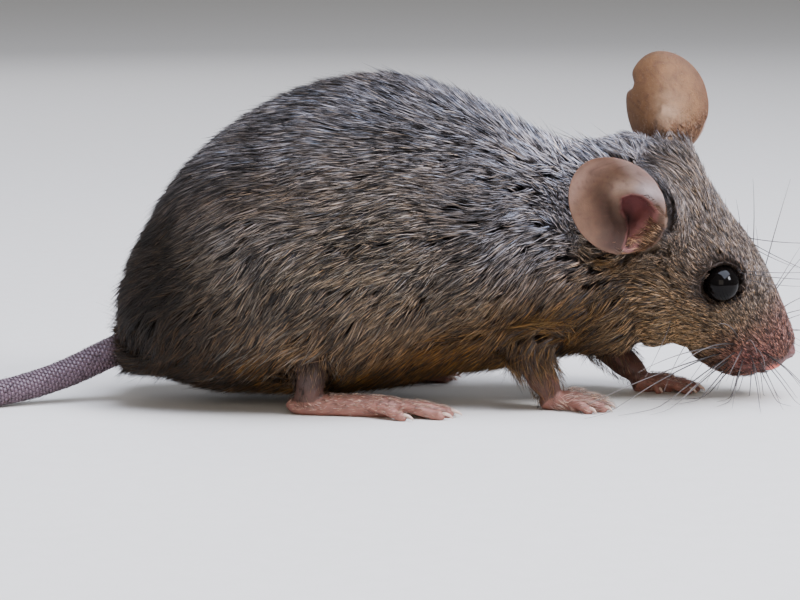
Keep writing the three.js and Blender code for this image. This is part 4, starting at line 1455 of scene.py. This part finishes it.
# ---- Eyes and claws ----
def build_eyes(sizes):
    """The eyeballs, each with a cornea that bulges where it looks."""
    finish = eye_material(sizes.colour)
    for side, name in SIDES:
        points, faces = lump((0, 0, 0), (1, 1, 1), 64, 40)
        bulge = 1 + sizes.cornea / sizes.radius * ramp(points @ eye_axis(side), 0.55, 1.0)
        points = from_head(points * sizes.radius * bulge[:, None] + EYE_AT * [1, side, 1])
        finish_piece(f"eyeball_{name}", points, faces, finish, (f"eye_{name}",))


def build_claws(sizes):
    """All the claws as one piece, each a curved horn out of the tip of its digit."""
    shapes = []
    t = np.linspace(0, 1, CLAW_STOPS)
    radii = sizes.thickness * 0.5 * (1 - t) ** 0.7 * rounded_ends(t, 16) + CLAW_POINT
    for plan in (HIND, FORE):
        for side, _ in SIDES:
            for digit in plan["digits"]:
                line = digit_line(side, digit, DIGIT_STOPS)
                ahead = unit((line[-1] - line[-5]) * [1, 1, 0])
                long = plan["claw"] * (0.6 if digit[3] < 2 else 1.0)  # a thumb has a short nail
                start = line[-3] + [0, 0, digit[4] * 0.15]
                dip = min(0.42, start[2] - 0.08)
                stops = ((-0.3, 0), (long * 0.35, 0.08), (long * 0.8, -0.12), (long * 1.05, -dip))
                path = curve([start + ahead * reach + [0, 0, up] for reach, up in stops], CLAW_STOPS)
                path[:, 2] = np.maximum(path[:, 2], 0.1)
                points, faces = tube(path, radii, 10, 1.25)
                shapes.append((foot_place(plan, side, points), faces))
    points, faces = joined(shapes)
    finish_piece("claws", points, faces, claw_material(sizes.colour))


# ---- Whiskers and tail scales, by Geometry Nodes ----
def new_tree(name, inputs):
    """A Geometry Nodes tree with a geometry input and output and these inputs, and its group input node."""
    tree = bpy.data.node_groups.new(name, "GeometryNodeTree")
    tree.interface.new_socket(name="Geometry", in_out="INPUT", socket_type="NodeSocketGeometry")
    for label, kind in inputs:
        tree.interface.new_socket(name=label, in_out="INPUT", socket_type=kind)
    tree.interface.new_socket(name="Geometry", in_out="OUTPUT", socket_type="NodeSocketGeometry")
    return tree, tree.nodes.new("NodeGroupInput")


def close_tree(tree, group, geometry):
    """Ends a tree with smooth shading, real faces and the finish."""
    smooth = add_node(tree, "GeometryNodeSetShadeSmooth", None, Geometry=geometry)
    real = add_node(tree, "GeometryNodeRealizeInstances", None, Geometry=smooth.outputs[0])
    finished = add_node(
        tree, "GeometryNodeSetMaterial", None, Geometry=real.outputs[0], Material=group.outputs["Finish"]
    )
    add_node(tree, "NodeGroupOutput", None, _0=finished.outputs[0])


def grown_from(name, base, tree, values):
    """The plain mesh piece that a tree makes from a base mesh."""
    carrier = put(f"{name}_base", base)
    modifier = carrier.modifiers.new("grow", "NODES")
    modifier.node_group = tree
    for item in tree.interface.items_tree:
        if item.in_out == "INPUT" and item.name in values:
            modifier[item.identifier] = values[item.name]
    mesh = evaluated(carrier)
    mesh.name = name
    if not mesh.polygons:
        raise RuntimeError(f"{name} came out empty")
    return put(name, mesh)


def whisker_tree():
    """Turns lines into tapered hairs. Points hold how far along they are and how thick the hair's root is."""
    inputs = (
        ("Root radius", "NodeSocketFloat"),
        ("Tip radius", "NodeSocketFloat"),
        ("Finish", "NodeSocketMaterial"),
    )
    tree, group = new_tree("whisker hairs", inputs)
    given = group.outputs
    along = add_node(tree, "GeometryNodeInputNamedAttribute", {"data_type": "FLOAT"}, Name="along")
    stout = add_node(tree, "GeometryNodeInputNamedAttribute", {"data_type": "FLOAT"}, Name="stout")
    left = add_node(tree, "ShaderNodeMath", {"operation": "SUBTRACT"}, _0=1.0, _1=along.outputs[0])
    taper = add_node(tree, "ShaderNodeMath", {"operation": "POWER"}, _0=left.outputs[0], _1=0.8)
    share = add_node(
        tree, "ShaderNodeMath", {"operation": "MULTIPLY"}, _0=taper.outputs[0], _1=stout.outputs[0]
    )
    radius = add_node(
        tree, "ShaderNodeMath", {"operation": "MULTIPLY_ADD"},
        _0=share.outputs[0], _1=given["Root radius"], _2=given["Tip radius"],
    )
    lines = add_node(tree, "GeometryNodeMeshToCurve", None, Mesh=given["Geometry"])
    ring = add_node(tree, "GeometryNodeCurvePrimitiveCircle", None, Resolution=5, Radius=1.0)
    hairs = add_node(
        tree, "GeometryNodeCurveToMesh", None,
        Curve=lines.outputs[0], Profile_Curve=ring.outputs[0], Scale=radius.outputs[0], Fill_Caps=True,
    )
    close_tree(tree, group, hairs.outputs[0])
    return tree


def lines_mesh(name, lines):
    """Lines of points as one mesh of edges. It holds how far along each point is and how stout its line."""
    mesh = bpy.data.meshes.new(name)
    points = np.vstack([line for line, _ in lines])
    count = [len(line) for line, _ in lines]
    starts = np.cumsum([0, *count[:-1]]).tolist()
    edges = [(start + i, start + i + 1) for start, stops in zip(starts, count) for i in range(stops - 1)]
    mesh.from_pydata(((points + ORIGIN) * MM).tolist(), edges, [])
    hold(mesh, "along", "FLOAT", np.concatenate([np.linspace(0, 1, stops) for stops in count]))
    hold(mesh, "stout", "FLOAT", np.repeat([thick for _, thick in lines], count))
    return mesh


def whisker_material():
    """Stiff keratin bristle: dark and glossy at the root, pale and clear at the tip."""
    material, tree = new_material("whisker bristle")
    along = add_node(tree, "ShaderNodeAttribute", {"attribute_name": "along"})
    place = add_node(tree, "ShaderNodeTexCoord").outputs["Object"]
    grain = add_node(tree, "ShaderNodeTexNoise", None, Vector=place, Scale=1200.0, Detail=1.0)
    spread = add_node(
        tree, "ShaderNodeMath", {"operation": "MULTIPLY_ADD"},
        _0=grain.outputs[0], _1=0.25, _2=along.outputs["Fac"],
    )
    tone = add_node(tree, "ShaderNodeValToRGB", None, Fac=spread.outputs[0])
    for stop, at, code in zip(tone.color_ramp.elements, (0.15, 1.0), ("#15100f", "#6d6561")):
        stop.position, stop.color = at, (*linear(code), 1)
    with_surface(tree, Base_Color=tone.outputs[0], Roughness=0.45, Specular_IOR_Level=0.3, IOR=1.55)
    return material


def build_whiskers(sizes):
    """Whiskers in rows on each muzzle pad, and a few long hairs over the eyes and on the cheeks and chin."""
    rng = np.random.default_rng(SEED + 1)
    points, faces = arrays_of(bpy.data.objects["skin"].data)
    tree = BVHTree.FromPolygons((points / MM - ORIGIN).tolist(), faces.tolist())
    lines = []

    def hair(near, lean, length, droop, stout):
        """A hair rooted on the skin nearest to a point of the head, leaning off the skin's outward way."""
        at, out = (np.array(found) for found in tree.find_nearest(from_head(near).tolist())[:2])
        way = unit(out * 0.75 + HEAD_AXES @ lean)
        t = np.linspace(0, 1, WHISKER_STOPS)[:, None]
        sideways = unit(np.cross(way, [0.0, 0.0, 1.0]))
        bend = np.array([-0.18, 0.0, -1.0]) * droop + sideways * rng.normal(0, 0.05)
        line = at - way * 0.3 + way * t * length + bend * length * t**2
        # A hair that would run through the floor levels out over it.
        over = line[:, 2] - WHISKER_LOW
        line[:, 2] = WHISKER_LOW + 0.5 * (over + np.sqrt(over**2 + 0.5))
        lines.append((line, stout))

    for side, _ in SIDES:
        mirror = np.array([1.0, side, 1.0])
        for row, (height, columns) in enumerate(WHISKER_ROWS):
            for column in range(columns):
                near = np.array([-7.0 + 1.05 * column + 0.3 * (row % 2), 4.2 - 0.35 * column, height])
                ahead, _, over = near - PAD_MIDDLE
                lean = mirror * [ahead * 0.34 - 0.1, 0.45, over * 0.3 + 0.05]
                length = sizes.length * (1.0 - 0.14 * column) * rng.uniform(0.75, 1.1)
                stray, droop = rng.normal(0, 0.07, 3), rng.uniform(0.06, 0.22)
                hair(near * mirror, lean + stray, length, droop, 1 - 0.09 * column)
        for *near, length in BROW_HAIRS:
            length = length * rng.uniform(0.9, 1.1)
            hair(mirror * near, mirror * [0.75, 0.2, 0.75], length, -0.12, 0.5)
        for *near, length in CHEEK_HAIRS:
            hair(mirror * near, mirror * [-0.3, 0.4, -0.3], length, 0.1, 0.45)
        for number in range(5):  # on the chin
            near = mirror * [-1.5 - 1.3 * number, 0.8 + 0.25 * number, -6.5]
            hair(near, mirror * [0.1, 0.25, -0.5], rng.uniform(2.5, 4.5), 0.05, 0.4)
    given = {
        "Root radius": sizes.root * 0.5 * MM,
        "Tip radius": sizes.tip * 0.5 * MM,
        "Finish": whisker_material(),
    }
    tie(grown_from("whiskers", lines_mesh("whisker lines", lines), whisker_tree(), given))


def scale_tree():
    """Rings of overlapping scales along a line of points, each ring turned and sized by its point."""
    inputs = (
        ("Scales to a ring", "NodeSocketInt"),
        ("Scale length", "NodeSocketFloat"),
        ("Finish", "NodeSocketMaterial"),
    )
    tree, group = new_tree("tail scales", inputs)
    given = group.outputs
    ring = add_node(tree, "GeometryNodeMeshCircle", None, Vertices=given["Scales to a ring"], Radius=1.0)
    ball = add_node(tree, "GeometryNodeMeshIcoSphere", None, Radius=0.5, Subdivisions=1)
    size = add_node(tree, "ShaderNodeCombineXYZ", None, X=0.1, Y=0.47, Z=given["Scale length"])
    leaf = add_node(tree, "GeometryNodeTransform", None, Geometry=ball.outputs[0], Scale=size.outputs[0])
    outward = add_node(tree, "GeometryNodeInputPosition")
    faced = add_node(
        tree, "FunctionNodeAlignRotationToVector", {"axis": "X", "pivot_axis": "Z"}, Vector=outward.outputs[0]
    )
    scales = add_node(
        tree, "GeometryNodeInstanceOnPoints", None,
        Points=ring.outputs[0], Instance=leaf.outputs[0], Rotation=faced.outputs[0],
    )
    turned, sized = (
        add_node(tree, "GeometryNodeInputNamedAttribute", {"data_type": "FLOAT_VECTOR"}, Name=name)
        for name in ("turned", "sized")
    )
    rings = add_node(
        tree, "GeometryNodeInstanceOnPoints", None,
        Points=given["Geometry"], Instance=scales.outputs[0],
        Rotation=turned.outputs[0], Scale=sized.outputs[0],
    )
    close_tree(tree, group, rings.outputs[0])
    return tree


def build_tail_scales(sizes):
    """Scales in rings down the whole bare tail."""
    path = tail_path(2000)
    radii = tail_radius(np.linspace(0, 1, len(path)))
    path[:, 2] = np.maximum(path[:, 2], radii + TAIL_CLEAR)
    travelled = np.concatenate([[0], np.cumsum(np.linalg.norm(np.diff(path, axis=0), axis=1))])
    stops = np.arange(sizes.bare_from, travelled[-1] - 0.5, sizes.spacing)

    def at_stops(values):
        return np.stack([np.interp(stops, travelled, column) for column in values.T], 1)

    mesh = bpy.data.meshes.new("tail rings")
    mesh.from_pydata(((at_stops(path) + ORIGIN) * MM).tolist(), [], [])
    radius = np.interp(stops, travelled, radii) - SCALE_SUNK
    radius[-3:] *= [0.9, 0.75, 0.5]
    turned = []
    for number, way in enumerate(unit(at_stops(np.gradient(path, axis=0)))):
        # Every other ring is turned by half a scale.
        by_half = Matrix.Rotation(math.pi / sizes.around * (number % 2), 3, "Z")
        turned.append((Vector(way).to_track_quat("Z", "X").to_matrix() @ by_half).to_euler())
    hold(mesh, "turned", "FLOAT_VECTOR", turned)
    hold(mesh, "sized", "FLOAT_VECTOR", np.stack([radius, radius, np.ones(len(radius))], 1) * MM)
    given = {
        "Scales to a ring": sizes.around,
        "Scale length": sizes.spacing * 1.15,
        "Finish": scale_material(sizes.colour),
    }
    tie(grown_from("tail_scales", mesh, scale_tree(), given))


# ---- Stage ----
FLOOR_REACH = 4.0  # metres from the middle of the floor to its edges


def build_stage(sizes):
    """The floor, the pale room, four softboxes and the camera."""
    corners = np.array([(-1, -1, 0), (1, -1, 0), (1, 1, 0), (-1, 1, 0)]) * FLOOR_REACH
    floor = put("floor", mesh_of("floor", corners, np.array([(0, 1, 2), (0, 2, 3)]), False))
    floor.data.materials.append(floor_material(sizes.floor))
    world = bpy.data.worlds.new("studio")
    world.use_nodes = True
    room = world.node_tree.nodes["Background"].inputs
    room[0].default_value, room[1].default_value = (*linear("#e9ebee"), 1), sizes.room
    bpy.context.scene.world = world
    eye = (from_head(EYE_AT * [1, RIGHT, 1]) + ORIGIN) * MM
    middle = np.array([0.03, 0, 0.015])
    panel("key softbox", eye + [0.288, -0.1755, 0.3015], eye, 0.11, sizes.key, "#f4f6ff")
    panel("sky softbox", middle + [0.12, -0.1, 0.5], middle, 0.45, sizes.sky, "#dfe8ff")
    panel("front softbox", middle + [-0.1, -0.5, 0.22], middle, 0.3, sizes.fill, "#fff1e2")
    panel("far softbox", middle + [-0.15, 0.5, 0.3], middle, 0.4, sizes.far, "#eef2ff")
    data = bpy.data.cameras.new("camera")
    data.lens, data.sensor_width = sizes.lens, 36.0
    data.clip_start, data.clip_end = 0.01, 20.0
    elevation = math.radians(sizes.elevation)
    target = Vector((ORIGIN[0] * MM, 0, sizes.aim))
    away = Vector((0, -math.cos(elevation), math.sin(elevation)))
    bpy.context.scene.camera = aimed("camera", data, target + away * sizes.distance, target)


def aimed(name, data, at, target):
    """A lamp or a camera in the scene, turned to its target."""
    made = bpy.data.objects.new(name, data)
    made.location = at
    made.rotation_euler = Vector(np.subtract(target, at)).to_track_quat("-Z", "Y").to_euler()
    bpy.context.scene.collection.objects.link(made)
    return made


def panel(name, at, target, size, power, colour):
    """A square softbox."""
    data = bpy.data.lights.new(name, "AREA")
    data.shape, data.size, data.energy, data.color = "SQUARE", size, power, linear(colour)
    aimed(name, data, at, target)


# ---- The add-on ----
def tint(name, code, about):
    """A colour that a user can change."""
    return FloatVectorProperty(
        name=name, description=about, subtype="COLOR", size=3, min=0.0, max=1.0, default=linear(code)
    )


def amount(name, default, about, **more):
    """A number that a user can change."""
    return FloatProperty(name=name, description=about, default=default, **more)


class StageSizes(bpy.types.PropertyGroup):
    lens: amount("Lens", 135.0, "Focal length in mm")
    distance: amount("Distance", 0.3409, "Camera to its aim", unit="LENGTH")
    elevation: amount("Elevation", 8.0, "Camera above the horizon, in degrees")
    aim: amount("Aim", 0.0114, "Height that the camera looks at", unit="LENGTH")
    floor: tint("Floor", "#d6d1ca", "Paint of the floor")
    room: amount("Room light", 0.4, "Strength of the pale room")
    key: amount("Key light", 2.4, "Power of the softbox ahead", unit="POWER")
    sky: amount("Top light", 9.0, "Power of the softbox above", unit="POWER")
    far: amount("Far light", 0.9, "Power of the softbox on the far side", unit="POWER")
    fill: amount("Fill light", 0.8, "Power of the softbox beside the camera", unit="POWER")


class SkinSizes(bpy.types.PropertyGroup):
    voxel: amount("Voxel", 0.3, "Size of the skin's first faces, in mm")
    foot_voxel: amount("Foot voxel", 0.19, "Size of the feet's first faces, in mm")
    gap: amount("Gap", 0.3, "Gap between the CAD's nodes, in mm")
    share: amount("Share", 0.33, "Share of the first faces that is kept", subtype="FACTOR")
    foot: tint("Foot", "#916255", "Bare skin of the feet")
    ear: tint("Ear", "#5a3f2d", "Skin of the ears")
    nose: tint("Nose", "#57332f", "Bare skin of the nose")
    scale_depth: amount("Scale depth", 0.1, "How far the tail's scales stand proud, in mm")


class CoatSizes(bpy.types.PropertyGroup):
    fullness: amount("Fullness", 1.0, "How many tufts there are for the usual number")
    guard: amount("Guard hairs", 0.32, "Guard hairs for each lock of the coat")
    # The back's tips are a pale bluish grey that is partly a painted sheen.
    back: tint("Back", "#b5b0b5", "Hair tips on the back")
    flank: tint("Flank", "#a69680", "Hair tips on the flanks")
    # The belly's tips are a brown darkened by painted shade.
    belly: tint("Belly", "#6e4c1d", "Hair tips on the belly")
    # The rump's tips are a dark brown that is partly painted shade.
    rump: tint("Rump", "#2b1a06", "Hair tips on the rump")
    face: tint("Face", "#8a7052", "Hair tips on the cheeks")
    crown: tint("Crown", "#7d6f66", "Hair tips on the crown")
    most_faces: IntProperty(name="Most faces", description="Triangles allowed in one piece", default=190000)


class EyeSizes(bpy.types.PropertyGroup):
    radius: amount("Radius", EYE_RADIUS, "Radius of the eyeball, in mm")
    colour: tint("Colour", "#0b0807", "Iris and pupil")
    cornea: amount("Cornea", 0.12, "How far the cornea bulges, in mm")


class ClawSizes(bpy.types.PropertyGroup):
    colour: tint("Colour", "#e2cdbb", "Horn of the claws")
    thickness: amount("Thickness", 0.4, "Thickness at the root, in mm")


class WhiskerSizes(bpy.types.PropertyGroup):
    length: amount("Length", 19.0, "Length of the rearmost whiskers, in mm")
    root: amount("Root", 0.15, "Thickness at the root, in mm")
    tip: amount("Tip", 0.03, "Thickness at the tip, in mm")


class TailSizes(bpy.types.PropertyGroup):
    colour: tint("Colour", "#6f5962", "Tail scales")
    spacing: amount("Spacing", 0.4, "From one ring of scales to the next, in mm")
    around: IntProperty(name="Around", description="Scales in one ring", default=15)
    bare_from: amount("Bare from", 4.0, "Where the scales start along the tail, in mm")


class MouseSizes(bpy.types.PropertyGroup):
    stage: PointerProperty(type=StageSizes)
    skin: PointerProperty(type=SkinSizes)
    coat: PointerProperty(type=CoatSizes)
    eyes: PointerProperty(type=EyeSizes)
    claws: PointerProperty(type=ClawSizes)
    whiskers: PointerProperty(type=WhiskerSizes)
    tail: PointerProperty(type=TailSizes)


class MOUSE_OT_stage(bpy.types.Operator):
    """Lay the floor and set the lights and the camera"""

    bl_idname = "mouse.stage"
    bl_label = "Stage"

    def execute(self, context):
        build_stage(context.scene.mouse.stage)
        return {"FINISHED"}


class MOUSE_OT_skin(bpy.types.Operator):
    """Make the skin of the whole animal in one piece"""

    bl_idname = "mouse.skin"
    bl_label = "Skin"

    def execute(self, context):
        build_skin(context.scene.mouse.skin)
        return {"FINISHED"}


class MOUSE_OT_eyes(bpy.types.Operator):
    """Make the two eyeballs"""

    bl_idname = "mouse.eyes"
    bl_label = "Eyes"

    def execute(self, context):
        build_eyes(context.scene.mouse.eyes)
        return {"FINISHED"}


class MOUSE_OT_claws(bpy.types.Operator):
    """Make the claws"""

    bl_idname = "mouse.claws"
    bl_label = "Claws"

    def execute(self, context):
        build_claws(context.scene.mouse.claws)
        return {"FINISHED"}


class MOUSE_OT_coat(bpy.types.Operator):
    """Grow the coat over the skin"""

    bl_idname = "mouse.coat"
    bl_label = "Coat"

    def execute(self, context):
        build_coat(context.scene.mouse.coat)
        return {"FINISHED"}


class MOUSE_OT_whiskers(bpy.types.Operator):
    """Make the whiskers and the long hairs of the face"""

    bl_idname = "mouse.whiskers"
    bl_label = "Whiskers"

    def execute(self, context):
        build_whiskers(context.scene.mouse.whiskers)
        return {"FINISHED"}


class MOUSE_OT_tail_scales(bpy.types.Operator):
    """Lay the scales down the tail"""

    bl_idname = "mouse.tail_scales"
    bl_label = "Tail scales"

    def execute(self, context):
        build_tail_scales(context.scene.mouse.tail)
        return {"FINISHED"}


OPERATORS = (
    MOUSE_OT_stage, MOUSE_OT_skin, MOUSE_OT_eyes, MOUSE_OT_claws,
    MOUSE_OT_coat, MOUSE_OT_whiskers, MOUSE_OT_tail_scales,
)


class MOUSE_PT_panel(bpy.types.Panel):
    """Lists the steps that build the mouse"""

    bl_idname = "MOUSE_PT_panel"
    bl_label = "House mouse"
    bl_space_type = "VIEW_3D"
    bl_region_type = "UI"
    bl_category = "Mouse"

    def draw(self, context):
        for operator in OPERATORS:
            self.layout.operator(operator.bl_idname)


GROUPS = (StageSizes, SkinSizes, CoatSizes, EyeSizes, ClawSizes, WhiskerSizes, TailSizes, MouseSizes)


def register():
    for kind in GROUPS + OPERATORS + (MOUSE_PT_panel,):
        bpy.utils.register_class(kind)
    bpy.types.Scene.mouse = PointerProperty(type=MouseSizes)


def unregister():
    del bpy.types.Scene.mouse
    for kind in reversed(GROUPS + OPERATORS + (MOUSE_PT_panel,)):
        bpy.utils.unregister_class(kind)


def main():
    register()
    for operator in OPERATORS:
        getattr(bpy.ops.mouse, operator.bl_idname.split(".")[1])()


if __name__ == "__main__":
    main()
